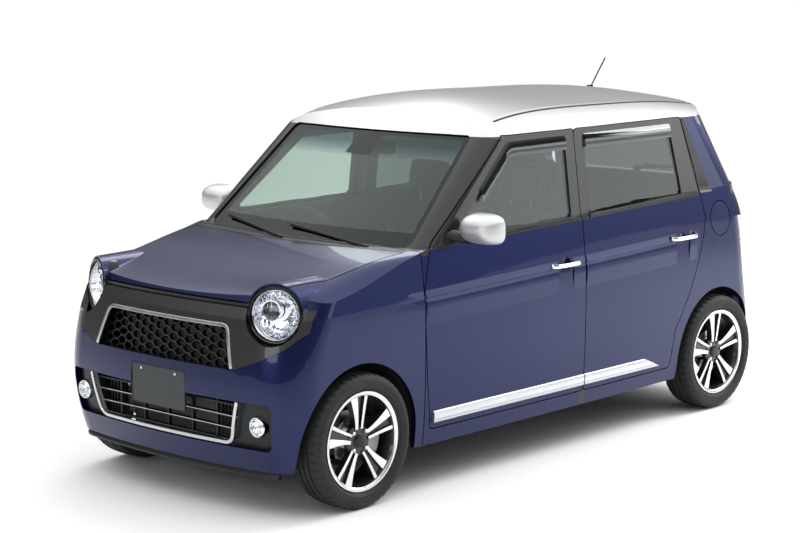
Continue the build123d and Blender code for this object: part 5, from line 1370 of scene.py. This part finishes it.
def build_mirrors():
    """Side mirrors: a silver cap with a dark slot, black inner face and foot, and the glass."""
    cx, cy, cz = MIRROR_CENTRE
    for side, sign in SIDES.items():
        body = f"front_door_{side}"

        def ring(x, wide, tall, inward=0.0):
            """A rounded outline round the mirror's middle."""
            points = []
            for angle in turns(56):
                y = wide * rounded(cos(angle), MIRROR_SQUARENESS)
                z = tall * rounded(sin(angle), MIRROR_SQUARENESS)
                points.append(Vector((cx + x, sign * (cy - inward + y), cz + z)))
            return points

        for name, look, rows, sharp in (
            ("cap", "roof", MIRROR_ROWS, 50.0), ("rim", "black", MIRROR_RIM, 35.0),
            ("pane", "mirror", MIRROR_PANE, 35.0),
        ):
            Shape().rings([ring(*row) for row in rows]).make(f"mirror_{name}_{side}", look, body, sharp)
        rings = []
        for x, wide, tall, inward in MIRROR_ROWS[1:8]:
            y = cy - inward + wide * (1 - abs(MIRROR_SLOT) ** (1 / MIRROR_SQUARENESS) * 0.5)
            z = cz + tall * MIRROR_SLOT
            rings.append([
                Vector((cx + x, sign * (y + out), z + up))
                for out, up in ((0.0012, 0.0016), (0.0012, -0.0016), (-0.004, -0.0016), (-0.004, 0.0016))
            ])
        Shape().rings(rings, caps=True).make(f"mirror_slot_{side}", "gloss_black", body, 35.0)
        path = smooth_path([(x, sign * y, z) for x, y, z in MIRROR_FOOT], 6)
        rings = []
        for i, point in enumerate(path):
            share = i / (len(path) - 1)
            wide, tall = 0.046 - 0.018 * share, 0.021 - 0.004 * share
            rings.append([point + Vector((wide * cos(angle), 0.0, tall * sin(angle))) for angle in turns(24)])
        Shape().rings(rings, caps=True).make(f"mirror_foot_{side}", "black", body, 45.0)


# The side windows
WINDOWS = {
    "front": ((0.640, 1.056), (0.240, 1.410), (-0.150, 1.412), (-0.150, 1.058)),
    "rear": ((-0.286, 1.060), (-0.286, 1.412), (-0.948, 1.412), (-1.006, 1.084)),
}
QUARTER_FRONT = ((-1.0420, 1.446), (-1.1000, 1.250), (-1.1550, 1.078))
QUARTER_REAR = ((-1.0640, 1.446), (-1.1640, 1.250), (-1.2560, 1.078))


def side_patch(tree, low_line, high_line, sign, lift):
    """The rings of a thin panel laid on the side between two chains of (x, z)."""
    columns, rows, thickness = 24, 10, 0.003
    rings = []
    for i in range(columns + 1):
        a, b = along(low_line, i / columns), along(high_line, i / columns)
        points = [(
            a[0] + (b[0] - a[0]) * (j / rows), a[1] + (b[1] - a[1]) * (j / rows),
        ) for j in range(rows + 1)]
        path, outward = laid_from_side(tree, points, sign, lift)
        inner = [place - out * thickness for place, out in zip(path, outward)]
        rings.append(list(path) + list(reversed(inner)))
    return rings


def along(line, share):
    """A point of a chain of (x, z) points at a share of its length."""
    points = [Vector((x, z, 0.0)) for x, z in line]
    lengths = [(b - a).length for a, b in zip(points, points[1:])]
    left = share * sum(lengths)
    for a, b, length in zip(points, points[1:], lengths):
        if left <= length:
            place = a.lerp(b, left / length)
            return place.x, place.y
        left -= length
    return points[-1].x, points[-1].y


VISOR_BEGINS = {"front": 0.28, "rear": 0.0}


def build_window_trims():
    """The side windows' seals, belt strips and visors, the quarter garnish and the roof's seams."""
    for side, sign in SIDES.items():
        for end, window in WINDOWS.items():
            body = f"{end}_door_{side}"
            tree = tree_of(f"{body}_panel", f"{body}_glass")
            loop = resampled(closed_loop(window, 0.024), 0.03)
            path, outward = laid_from_side(tree, [(p.x, p.y) for p in loop], sign)
            Shape().sweep(path, outward, strip_section(0.011, 0.0022, 0.002, 0.0009)).make(
                f"window_seal_{end}_{side}", "rubber", body, 35.0,
            )
            (x0, z0), (x1, z1) = sorted(sorted(window, key=lambda p: p[1])[:2])
            points = [
                (x0 - 0.012 + (x1 - x0 + 0.024) * k / 30, z0 + (z1 - z0) * k / 30 - 0.006) for k in range(31)
            ]
            path, outward = laid_from_side(tree, points, sign)
            Shape().sweep(path, outward, strip_section(0.017, 0.0042, 0.002, 0.0016)).make(
                f"belt_strip_{end}_{side}", "black", body, 35.0,
            )
            line = window[:3] if end == "front" else window[1:3]
            begin = VISOR_BEGINS[end]
            top_points = [along(line, begin + (1.0 - begin) * k / 30) for k in range(31)]
            path, outward = laid_from_side(tree, [(x, z + 0.012) for x, z in top_points], sign, 0.002)
            Shape().rings([
                [
                    place, place - UP * 0.020 + out * 0.009, place - UP * 0.062 + out * 0.016,
                    place - UP * 0.064 + out * 0.0145, place - UP * 0.022 + out * 0.0070, place - out * 0.001,
                ]
                for place, out in zip(path, outward)
            ], caps=True).make(f"visor_{end}_{side}", "visor", body, 50.0)
        tree = tree_of(
            "side_frames", "roof_panel", "rear_door_left_panel", "rear_door_right_panel", "tailgate_panel",
        )
        Shape().rings(side_patch(tree, QUARTER_FRONT, QUARTER_REAR, sign, 0.0022), caps=True).make(
            f"quarter_garnish_{side}", "gloss_black", "body", 40.0,
        )
        points = [(0.215 - 1.735 * k / 60, sign * (0.5480 - 0.018 * (k / 60) ** 2)) for k in range(61)]
        path, outward = laid_from_above(tree_of("roof_panel", "side_frames", "tailgate_panel"), points)
        Shape().sweep(path, outward, strip_section(0.012, 0.0012, 0.002, 0.0008)).make(
            f"roof_seam_{side}", "rubber", "body", 35.0,
        )


# Seats. Every pad is a row of rounded sections along a line in the middle of its thickness.
def add_pad(
    shape, start, end, facing, half_width, half_thick, middle_y, bolster=0.0, channels=(), taper=0.0,
    bow=0.0, stations=34, count=44,
):
    """A stuffed pad from start to end, as (x, z), thick along facing, with raised sides and channels."""
    sx, sz = start
    ex, ez = end
    fx, fz = facing
    size = (fx * fx + fz * fz) ** 0.5
    fx, fz = fx / size, fz / size
    rings = []
    for i in range(stations + 1):
        share = i / stations
        spread = sin(pi * (0.04 + 0.92 * share)) ** 0.28
        wide = half_width * (0.90 + 0.10 * spread) * (1.0 - taper * share)
        thick = half_thick * (0.35 + 0.65 * spread)
        hollow = bow * 4 * share * (1 - share)
        groove = sum(exp(-((share - place) / 0.018) ** 2) for place in channels) * 0.0075
        ring = []
        for angle in turns(count):
            u = wide * rounded(cos(angle), 0.45)
            v = thick * rounded(sin(angle), 0.55)
            if v > 0:
                reach = abs(u) / wide
                rise = max(0.0, min(1.0, (reach - 0.50) / 0.30))
                rise = rise * rise * (3 - 2 * rise)
                v += bolster * rise * spread - groove * (1 - rise) + 0.008 * (1 - reach * reach)
            v -= hollow
            ring.append(Vector((
                sx + (ex - sx) * share + fx * v, middle_y + u, sz + (ez - sz) * share + fz * v,
            )))
        rings.append(ring)
    first = [Vector((sx, middle_y, sz)).lerp(point, 0.55) for point in rings[0]]
    last = [Vector((ex, middle_y, ez)).lerp(point, 0.55) for point in rings[-1]]
    direction = Vector((ex - sx, 0.0, ez - sz)).normalized() * half_thick * 0.16
    shape.rings([[p - direction for p in first]] + rings + [[p + direction for p in last]], caps=True)


def add_seam(shape, start, end, facing, offset_y, lift, middle_y, radius=0.0028):
    """Piping along a pad's face."""
    direction = Vector((facing[0], 0.0, facing[1])).normalized()
    path = []
    for k in range(25):
        share = 0.05 + 0.90 * k / 24
        spread = sin(pi * (0.04 + 0.92 * share)) ** 0.28
        place = Vector((
            start[0] + (end[0] - start[0]) * share, middle_y + offset_y,
            start[1] + (end[1] - start[1]) * share,
        ))
        path.append(place + direction * lift * (0.35 + 0.65 * spread))
    shape.sweep(path, [direction] * len(path), round_section(radius, 8))


FRONT_SEATS = {"left": 0.285, "right": -0.285}
CUSHION = {"start": (-0.205, 0.498), "end": (0.318, 0.508), "facing": (0.03, 1.0)}
BACK = {"start": (-0.218, 0.560), "end": (-0.296, 1.030), "facing": (1.0, 0.17)}


COVER_OUTLINE = [
    (0.300, 0.440), (0.310, 0.490), (0.120, 0.510), (-0.120, 0.520), (-0.170, 0.600), (-0.225, 0.600),
    (-0.250, 0.540), (-0.235, 0.440), (-0.160, 0.424),
]
RAIL_SECTION = [
    (-0.018, -0.006), (-0.018, 0.0), (-0.012, 0.006), (0.012, 0.006), (0.018, 0.0), (0.018, -0.006),
]
BENCH_CHANNELS = (0.35, 0.55, 0.75)
REAR_SEATS = {"left": 0.247, "right": -0.247}


def stuffed(name, look, seat, *pad, **more):
    """One stuffed pad of a seat as a piece of its own."""
    shape = Shape()
    add_pad(shape, *pad, **more)
    return shape.make(name, look, "body", 60.0, [seat])


def add_rest_posts(name, seat, x, y, apart, foot, rise):
    """The two posts under a head rest."""
    posts = Shape()
    for offset in (-apart, apart):
        path = [Vector((x, y + offset, foot + rise * k / 6)) for k in range(7)]
        posts.sweep(path, [AHEAD] * 7, round_section(0.006, 12))
    posts.make(name, "satin", "body", 50.0, [seat])


def build_front_seat(side, y):
    """One front seat: cushion, back, head rest, piping, posts, side covers and rails."""
    seat = "front_seats"
    stuffed(f"front_cushion_{side}", "cloth", seat, half_width=0.243, half_thick=0.076, middle_y=y,
                      bolster=0.026, channels=(0.30, 0.48, 0.66, 0.84), **CUSHION)
    stuffed(
            f"front_back_{side}", "cloth", seat, half_width=0.243, half_thick=0.050, middle_y=y,
            bolster=0.034, taper=0.13, bow=0.006, channels=(0.34, 0.50, 0.66, 0.82), **BACK,
        )
    stuffed(
            f"front_head_rest_{side}", "cloth_trim", seat, (-0.290, 1.096), (-0.300, 1.232), (1.0, 0.08),
            0.120, 0.044, y, taper=0.10, stations=22, count=40,
        )
    seams = Shape()
    for part, lift, offset in ((CUSHION, 0.094, 0.150), (BACK, 0.068, 0.145)):
        for sign in (-1, 1):
            add_seam(seams, part["start"], part["end"], part["facing"], sign * offset, lift, y)
    seams.make(f"front_seat_seams_{side}", "cloth_trim", "body", 60.0, [seat])
    add_rest_posts(f"front_rest_posts_{side}", seat, -0.296, y, 0.060, 1.030, 0.09)
    covers = Shape()
    chain = closed_loop(COVER_OUTLINE, 0.018)
    for sign in (-1, 1):
        edge = y + sign * 0.252
        covers.rings([
            [Vector((p.x, edge - sign * 0.030, p.y)) for p in chain],
            [Vector((p.x, edge - sign * 0.003, p.y)) for p in chain],
            [Vector((p.x * 0.97, edge, 0.50 + (p.y - 0.50) * 0.95)) for p in chain],
        ], caps=True)
    covers.make(f"front_seat_covers_{side}", "cabin", "body", 35.0, [seat])
    rails = Shape()
    for offset in (-0.165, 0.165):
        path = [Vector((-0.135 + 0.390 * k / 4, y + offset, 0.436)) for k in range(5)]
        rails.sweep(path, [UP] * 5, RAIL_SECTION)
        for foot in (-0.110, 0.230):
            path = [Vector((foot, y + offset, 0.262 + 0.172 * k / 3)) for k in range(4)]
            rails.sweep(path, [AHEAD] * 4, round_section(0.014, 12))
    rails.make(f"front_seat_rails_{side}", "steel", "body", 35.0, [seat])


def build_seats():
    """The stuffed front seats and rear bench."""
    for side, y in FRONT_SEATS.items():
        build_front_seat(side, y)
    seat = "rear_seat"
    stuffed(
            "rear_cushion", "cloth", seat, (-1.000, 0.500), (-0.532, 0.512), (0.02, 1.0), 0.492, 0.072, 0.0,
            bolster=0.010, channels=BENCH_CHANNELS, count=60,
        )
    for side, y in REAR_SEATS.items():
        stuffed(
                f"rear_back_{side}", "cloth", seat, (-1.000, 0.560), (-1.108, 0.990), (1.0, 0.25), 0.243,
                0.040, y, bolster=0.012, taper=0.05, channels=BENCH_CHANNELS,
            )
        stuffed(
                f"rear_head_rest_{side}", "cloth_trim", seat, (-1.128, 1.044), (-1.134, 1.152), (1.0, 0.1),
                0.112, 0.032, y, taper=0.08, stations=20, count=36,
            )
        add_rest_posts(f"rear_rest_posts_{side}", seat, -1.128, y, 0.050, 0.985, 0.08)


# Cabin
WHEEL_CENTRE = Vector((0.425, -0.345, 0.915))
WHEEL_AXIS = Vector((-0.9, 0.0, 0.436)).normalized()
WHEEL_RADIUS = 0.182


HUB_ROWS = [(1.00, -0.028), (1.00, -0.006), (0.95, 0.004), (0.80, 0.010), (0.40, 0.013), (0.02, 0.014)]
SPOKE_RIGHT = [(0.060, 0.004, -0.006), (0.110, 0.010, -0.010), (0.150, 0.012, -0.006), (0.174, 0.012, 0.0)]
SPOKE_LOW = [(0.0, -0.055, -0.006), (0.0, -0.100, -0.012), (0.0, -0.145, -0.008), (0.0, -0.174, 0.0)]
SHROUD_PROFILE = [(0.0, -0.030), (0.034, -0.030), (0.040, -0.050), (0.046, -0.085), (0.0, -0.085)]
CABIN_MIRROR_X, CABIN_MIRROR_HALF = 0.372, 0.031
# Rows of (x, z, half thickness) of a sun visor
SUN_VISOR_ROWS = [
    (0.262, 1.440, 0.002), (0.240, 1.446, 0.008), (0.170, 1.463, 0.009), (0.120, 1.474, 0.008),
    (0.108, 1.476, 0.002),
]


def build_steering_wheel():
    """The steering wheel: rim, hub, three spokes and the shroud behind it."""
    side_axis = Vector((0.0, 1.0, 0.0))
    up_axis = WHEEL_AXIS.cross(side_axis).normalized()
    if up_axis.z < 0:
        up_axis = -up_axis
    body = "steering_wheel"

    def at(right, up, out=0.0):
        """A point from its place on the steering wheel."""
        return WHEEL_CENTRE + side_axis * right + up_axis * up + WHEEL_AXIS * out

    rings = []
    for angle in turns(72):
        spoke_near = max(exp(-((angle - place) / 0.16) ** 2) for place in (0.0, pi, 2 * pi))
        radius = 0.0135 + 0.0015 * spoke_near
        ring = []
        for turn in turns(14):
            r = WHEEL_RADIUS - 0.001 + radius * cos(turn)
            ring.append(at(r * cos(angle), r * sin(angle), radius * 0.92 * sin(turn)))
        rings.append(ring)
    Shape().rings(rings, closed_path=True).make("steering_rim", "cabin", body, 60.0, [body])
    outline = [
        (0.078 * rounded(cos(angle), 0.75), 0.064 * rounded(sin(angle), 0.75) - 0.006) for angle in turns(48)
    ]
    Shape().rings([
        [at(right * scale, up * scale, out) for right, up in outline] for scale, out in HUB_ROWS
    ]).make("steering_hub", "cabin", body, 50.0, [body])
    spokes = Shape()
    spoke_left = [(-right, up, out) for right, up, out in SPOKE_RIGHT]
    for points, wide in ((SPOKE_RIGHT, 0.021), (spoke_left, 0.021), (SPOKE_LOW, 0.026)):
        path = smooth_path([at(*point) for point in points], 5)
        spokes.sweep(path, [WHEEL_AXIS] * len(path), [
            (-wide, -0.004), (wide, -0.004), (wide, 0.002), (wide * 0.8, 0.0045), (-wide * 0.8, 0.0045),
            (-wide, 0.002),
        ])
    spokes.make("steering_spokes", "satin", body, 40.0, [body])
    Shape().lathe(SHROUD_PROFILE, WHEEL_CENTRE, WHEEL_AXIS, 40).make(
        "steering_shroud", "cabin", body, 40.0, [body],
    )


def build_cabin():
    """The cabin mirror's case and the sun visors."""
    low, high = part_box("cabin_mirror")
    middle_y, middle_z = (low.y + high.y) / 2, high.z - CABIN_MIRROR_HALF
    rings = []
    for x, scale in ((0.0, 1.0), (0.010, 0.98), (0.020, 0.90), (0.025, 0.72), (0.026, 0.02)):
        ring = []
        for angle in turns(48):
            y = middle_y + 0.110 * scale * rounded(cos(angle), 0.42)
            z = middle_z + CABIN_MIRROR_HALF * scale * rounded(sin(angle), 0.55)
            ring.append(Vector((CABIN_MIRROR_X + x, y, z)))
        rings.append(ring)
    Shape().rings(rings).make("cabin_mirror_case", "cabin", "body", 45.0)
    visors = Shape()
    for sign in (-1, 1):
        rings = []
        for x, z, thick in SUN_VISOR_ROWS:
            rings.append([
                Vector((
                    x, sign * 0.300 + 0.185 * rounded(cos(a), 0.35), z - 0.022 + thick * rounded(sin(a), 0.7),
                ))
                for a in turns(28)
            ])
        visors.rings(rings, caps=True)
    visors.make("sun_visors", "lining", "body", 45.0)


# The crease along the side: rows of (height over the crease, how far it stands out), bottom row last
CREASE_ROWS = [
    (0.034, 0.0002), (0.018, 0.0016), (0.0040, 0.0045), (0.0, 0.0006), (-0.004, 0.0010), (-0.026, 0.0052),
    (-0.050, 0.0044), (-0.110, 0.0002),
]
CREASE_RUNS = [
    ("body", 1.020, 0.861), ("front_door", 0.848, -0.018), ("front_door", -0.126, -0.209),
    ("rear_door", -0.222, -0.926), ("rear_door", -1.034, -1.118),
]


def crease_height(x):
    """The crease rises toward the tail."""
    return 0.846 - 0.0286 * (x + 0.072)


def build_creases():
    """The crease along the doors: a fine dark edge over a band that turns up to the light."""
    for side, sign in SIDES.items():
        tree = tree_of("front_fenders", "side_frames", f"front_door_{side}_panel", f"rear_door_{side}_panel")
        for number, (owner, front, rear) in enumerate(CREASE_RUNS):
            body = owner if owner == "body" else f"{owner}_{side}"
            columns = max(6, int((front - rear) / 0.02))
            rings = []
            for i in range(columns + 1):
                x = front + (rear - front) * i / columns
                fade = min(1.0, max(0.02, min(abs(x - 1.020) / 0.20, abs(x - -1.118) / 0.08)))
                outer, inner = [], []
                for rise, proud in CREASE_ROWS:
                    place = side_point(tree, x, crease_height(x) + rise, sign)
                    outer.append(place + Vector((0.0, sign * proud * fade, 0.0)))
                    inner.append(place - Vector((0.0, sign * 0.0010, 0.0)))
                rings.append(outer + list(reversed(inner)))
            Shape().rings(rings, caps=True).make(f"side_crease_{side}_{number}", "body", body, 32.0)


# The tail
WINDOW_UNDER, WINDOW_OVER, WINDOW_TOP = 1.100, 1.300, 1.440
REAR_WINDOW = ((0.505, 1.118), (0.440, 1.420))


def over_window(tree, y, z, lift):
    """A point over the rear window, on the line between the panel under it and its upper half."""
    levels = (WINDOW_OVER, WINDOW_TOP) if z > WINDOW_OVER else (WINDOW_UNDER, WINDOW_OVER)
    low, high = (drop(tree, (RAY_REAR, y, level), (1.0, 0.0, 0.0))[0] for level in levels)
    slope = (high - low).normalized()
    out = Vector((-slope.z, 0.0, slope.x)).normalized()
    return low + (high - low) * ((z - low.z) / (high.z - low.z)) + out * lift, out


# Rings of (share of the outline, lift off the surface), from the edge to the middle
PANE_RINGS = [(1.0, -0.004), (1.0, 0.0008)] + [(share, 0.0012) for share in (0.995, 0.8, 0.6, 0.4, 0.2, 0.01)]


def build_rear_window(tree):
    """The whole rear window as one bowed pane."""
    (half_low, low_z), (half_high, high_z) = REAR_WINDOW
    corners = [(-half_low, low_z), (half_low, low_z), (half_high, high_z), (-half_high, high_z)]
    loop = resampled(closed_loop(corners, 0.030), 0.02)
    middle = Vector((0.0, (low_z + high_z) / 2, 0.0))
    rings = []
    for share, lift in PANE_RINGS:
        places = [middle.lerp(point, share) for point in loop]
        rings.append([over_window(tree, place.x, place.y, lift)[0] for place in places])
    Shape().rings(rings).make("rear_window", "privacy", "tailgate", 50.0, ["tailgate_glass"])


TAIL_LAMP = ((0.607, 0.800), (0.676, 0.800), (0.668, 1.010), (0.612, 1.010))
REVERSING_LENS = ((0.612, 0.882), (0.668, 0.882), (0.666, 0.922), (0.614, 0.922))
LENS_RINGS = ((1.0, -0.0008), (0.99, 0.0006), (0.90, 0.0011), (0.5, 0.0013), (0.02, 0.0014))
PLATE_RINGS = (
    (1.0, 0.006), (1.0, -0.0006), (0.992, -0.0014), (0.965, -0.0014), (0.955, -0.0008), (0.02, -0.0008),
)
REAR_PLATE_Z, REAR_PLATE_HALF = 0.700, (0.165, 0.0825)
WIPER_PIVOT_Z = 1.112


def build_tail_lamps():
    """The tail lamps' rings and their clear reversing lenses."""
    tree = tree_of("tail_lamps")
    for side, sign in SIDES.items():
        loop = closed_loop([(sign * y, z) for y, z in TAIL_LAMP], 0.020)
        path, outward = laid_from_rear(tree, [(p.x, p.y) for p in resampled(loop, 0.015)])
        Shape().sweep(path, outward, strip_section(0.0045, 0.0006, 0.001, 0.0004)).make(
            f"tail_lamp_ring_{side}", "bright", "body", 30.0, slot="lamp_red",
        )
        loop = closed_loop([(sign * y, z) for y, z in REVERSING_LENS], 0.012)
        path, outward = laid_from_rear(tree, [(p.x, p.y) for p in loop])
        middle = sum(path, Vector()) / len(path)
        rings = []
        for scale, lift in LENS_RINGS:
            rings.append([middle.lerp(p, scale) + out * lift for p, out in zip(path, outward)])
        Shape().rings(rings).make(f"reversing_lens_{side}", "white_plate", "body", 40.0)


def build_rear_plate(tree):
    """The blank rear plate and its bolts."""
    plate_x = drop(tree, (RAY_REAR, 0.0, REAR_PLATE_Z), (1.0, 0.0, 0.0))[0].x - 0.0020
    half_w, half_h = REAR_PLATE_HALF
    loop = closed_loop([(-half_w, -half_h), (half_w, -half_h), (half_w, half_h), (-half_w, half_h)], 0.010)
    rings = []
    for scale, back in PLATE_RINGS:
        rings.append([Vector((plate_x + back, p.x * scale, REAR_PLATE_Z + p.y * scale)) for p in loop])
    Shape().rings(rings).make("rear_plate", "white_plate", "tailgate", 30.0)
    bolts = Shape()
    for y in PLATE_BOLTS:
        bolts.lathe([(0.0, 0.0032), (0.0040, 0.0028), (0.0062, 0.0012), (0.0062, -0.002)],
                    Vector((plate_x - 0.0010, y, REAR_PLATE_Z + half_h - 0.018)), (-1.0, 0.0, 0.0), 16)
    bolts.make("rear_plate_bolts", "satin", "tailgate", 35.0)


def build_tailgate_trims(tree):
    """The tailgate's handle, the high brake light and the wiper."""
    path, outward = laid_from_rear(tree, [(-0.210 + 0.420 * k / 30, 0.826) for k in range(31)])
    outward = [Vector((out.x, out.y, 0.0)).normalized() for out in outward]
    Shape().sweep(path, outward, [
        (-0.016, -0.003), (0.016, -0.003), (0.0165, 0.008), (0.012, 0.013), (-0.006, 0.0145), (-0.015, 0.009),
    ]).make("tailgate_handle", "bright", "tailgate", 35.0)
    path, outward = laid_from_rear(tree, [(-0.130 + 0.260 * k / 20, 1.446) for k in range(21)])
    Shape().sweep(path, outward, strip_section(0.016, 0.0035, 0.003, 0.0015)).make(
        "high_brake_light", "red_lens", "tailgate", 35.0,
    )
    wiper = Shape()
    arm = [over_window(tree, 0.290 * k / 12, WIPER_PIVOT_Z + 0.020 * k / 12, 0.014) for k in range(13)]
    blade = [over_window(tree, 0.060 + 0.300 * k / 16, WIPER_PIVOT_Z + 0.024, 0.0055) for k in range(17)]
    for points, section in (
        (arm, strip_section(0.011, 0.004, 0.004, 0.002)), (blade, strip_section(0.007, 0.005, 0.004, 0.002)),
    ):
        wiper.sweep([place for place, _ in points], [out for _, out in points], section)
    place, out = over_window(tree, 0.0, WIPER_PIVOT_Z, 0.0)
    wiper.lathe([(0.0, 0.024), (0.012, 0.022), (0.019, 0.012), (0.021, -0.004)], place, out, 28)
    wiper.make("rear_wiper", "rubber", "tailgate", 40.0)


def build_tail():
    """Tail lamp inner parts, the rear plate, the rear window and the tailgate's trims."""
    tree = tree_of("tailgate_panel", "tailgate_glass", "rear_bumper")
    build_tail_lamps()
    build_rear_plate(tree)
    build_rear_window(tree)
    build_tailgate_trims(tree)


CALIPER_CENTRE = (1.2275, 0.640, 0.281)
CALIPER_RADIUS = 0.124
CALIPER_SECTION = (
    (-0.024, -0.024), (0.020, -0.024), (0.024, -0.018), (0.024, 0.018), (0.020, 0.026), (-0.024, 0.026),
)


def build_calipers():
    """The front brake calipers, which turn with the steering but not with the wheels."""
    x, y, z = CALIPER_CENTRE
    for side, sign in SIDES.items():
        rings = []
        for k in range(15):
            angle = radians(150 + 60 * k / 14)
            ends = 1.0 if 0 < k < 14 else 0.9
            ring = []
            for u, v in CALIPER_SECTION:
                r = CALIPER_RADIUS + u * ends
                ring.append(Vector((x + r * cos(angle), sign * (y + v * ends), z + r * sin(angle))))
            rings.append(ring)
        Shape().rings(rings, caps=True).make(f"caliper_{side}", "steel", f"knuckle_{side}", 35.0)


class KeiCarStage(bpy.types.Operator):
    """Adds the floor, the soft light and the camera"""

    bl_idname = "kei_car.stage"
    bl_label = "Stage"

    def execute(self, context):
        build_stage()
        build_camera()
        return {"FINISHED"}


class KeiCarFinishes(bpy.types.Operator):
    """Makes the finishes and puts them on the solids that stay"""

    bl_idname = "kei_car.finishes"
    bl_label = "Finishes"

    def execute(self, context):
        make_finishes()
        dress_nodes()
        return {"FINISHED"}


class KeiCarTyres(bpy.types.Operator):
    """Adds the four tyres"""

    bl_idname = "kei_car.tyres"
    bl_label = "Tyres"

    def execute(self, context):
        build_tyres()
        return {"FINISHED"}


class KeiCarWheels(bpy.types.Operator):
    """Adds the four alloy wheels and the brake discs"""

    bl_idname = "kei_car.wheels"
    bl_label = "Wheels"

    def execute(self, context):
        build_rims()
        return {"FINISHED"}


class KeiCarLamps(bpy.types.Operator):
    """Adds the head lamps and the fog lamps"""

    bl_idname = "kei_car.lamps"
    bl_label = "Front lamps"

    def execute(self, context):
        build_head_lamps()
        build_fog_lamps()
        return {"FINISHED"}


class KeiCarFace(bpy.types.Operator):
    """Adds the bright trims, the mesh, the strips and the mouth's pieces"""

    bl_idname = "kei_car.face"
    bl_label = "Face"

    def execute(self, context):
        build_bright_trims()
        build_upper_mesh()
        build_lip_strip()
        build_mouth()
        return {"FINISHED"}


class KeiCarDoorTrims(bpy.types.Operator):
    """Adds the handles, the silver strips and the side mirrors"""

    bl_idname = "kei_car.door_trims"
    bl_label = "Door trims"

    def execute(self, context):
        build_handles_and_strips()
        build_mirrors()
        return {"FINISHED"}


class KeiCarWindows(bpy.types.Operator):
    """Adds the window seals, visors, quarter garnish and roof seams"""

    bl_idname = "kei_car.windows"
    bl_label = "Window trims"

    def execute(self, context):
        build_window_trims()
        return {"FINISHED"}


class KeiCarTail(bpy.types.Operator):
    """Adds the crease along the sides, the tail's pieces and the brake calipers"""

    bl_idname = "kei_car.tail"
    bl_label = "Sides and tail"

    def execute(self, context):
        build_creases()
        build_tail()
        build_calipers()
        return {"FINISHED"}


class KeiCarCabin(bpy.types.Operator):
    """Adds the seats, the steering wheel, the cabin mirror and the sun visors"""

    bl_idname = "kei_car.cabin"
    bl_label = "Cabin"

    def execute(self, context):
        build_seats()
        build_steering_wheel()
        build_cabin()
        return {"FINISHED"}


STEPS = (
    KeiCarStage, KeiCarFinishes, KeiCarTyres, KeiCarWheels, KeiCarLamps, KeiCarFace, KeiCarDoorTrims,
    KeiCarWindows, KeiCarCabin, KeiCarTail,
)


class KeiCarPanel(bpy.types.Panel):
    """Lists the steps that finish the car"""

    bl_idname = "KEI_CAR_PT_steps"
    bl_label = "Kei car"
    bl_space_type = "VIEW_3D"
    bl_region_type = "UI"
    bl_category = "Kei Car"

    def draw(self, context):
        for group in (context.scene.kei_car_colours, context.scene.kei_car_sizes):
            for name in group.__annotations__:
                self.layout.prop(group, name)
        for step in STEPS:
            self.layout.operator(step.bl_idname)


CLASSES = (KeiCarColours, KeiCarSizes, *STEPS, KeiCarPanel)


def register():
    """Registers the classes and the scene's properties."""
    for cls in CLASSES:
        bpy.utils.register_class(cls)
    bpy.types.Scene.kei_car_colours = bpy.props.PointerProperty(type=KeiCarColours)
    bpy.types.Scene.kei_car_sizes = bpy.props.PointerProperty(type=KeiCarSizes)


def unregister():
    """Takes them away again."""
    del bpy.types.Scene.kei_car_sizes
    del bpy.types.Scene.kei_car_colours
    for cls in reversed(CLASSES):
        bpy.utils.unregister_class(cls)


def main():
    """Builds every piece in order."""
    register()
    for step in STEPS:
        group, name = step.bl_idname.split(".")
        getattr(getattr(bpy.ops, group), name)()


if __name__ == "__main__":
    main()
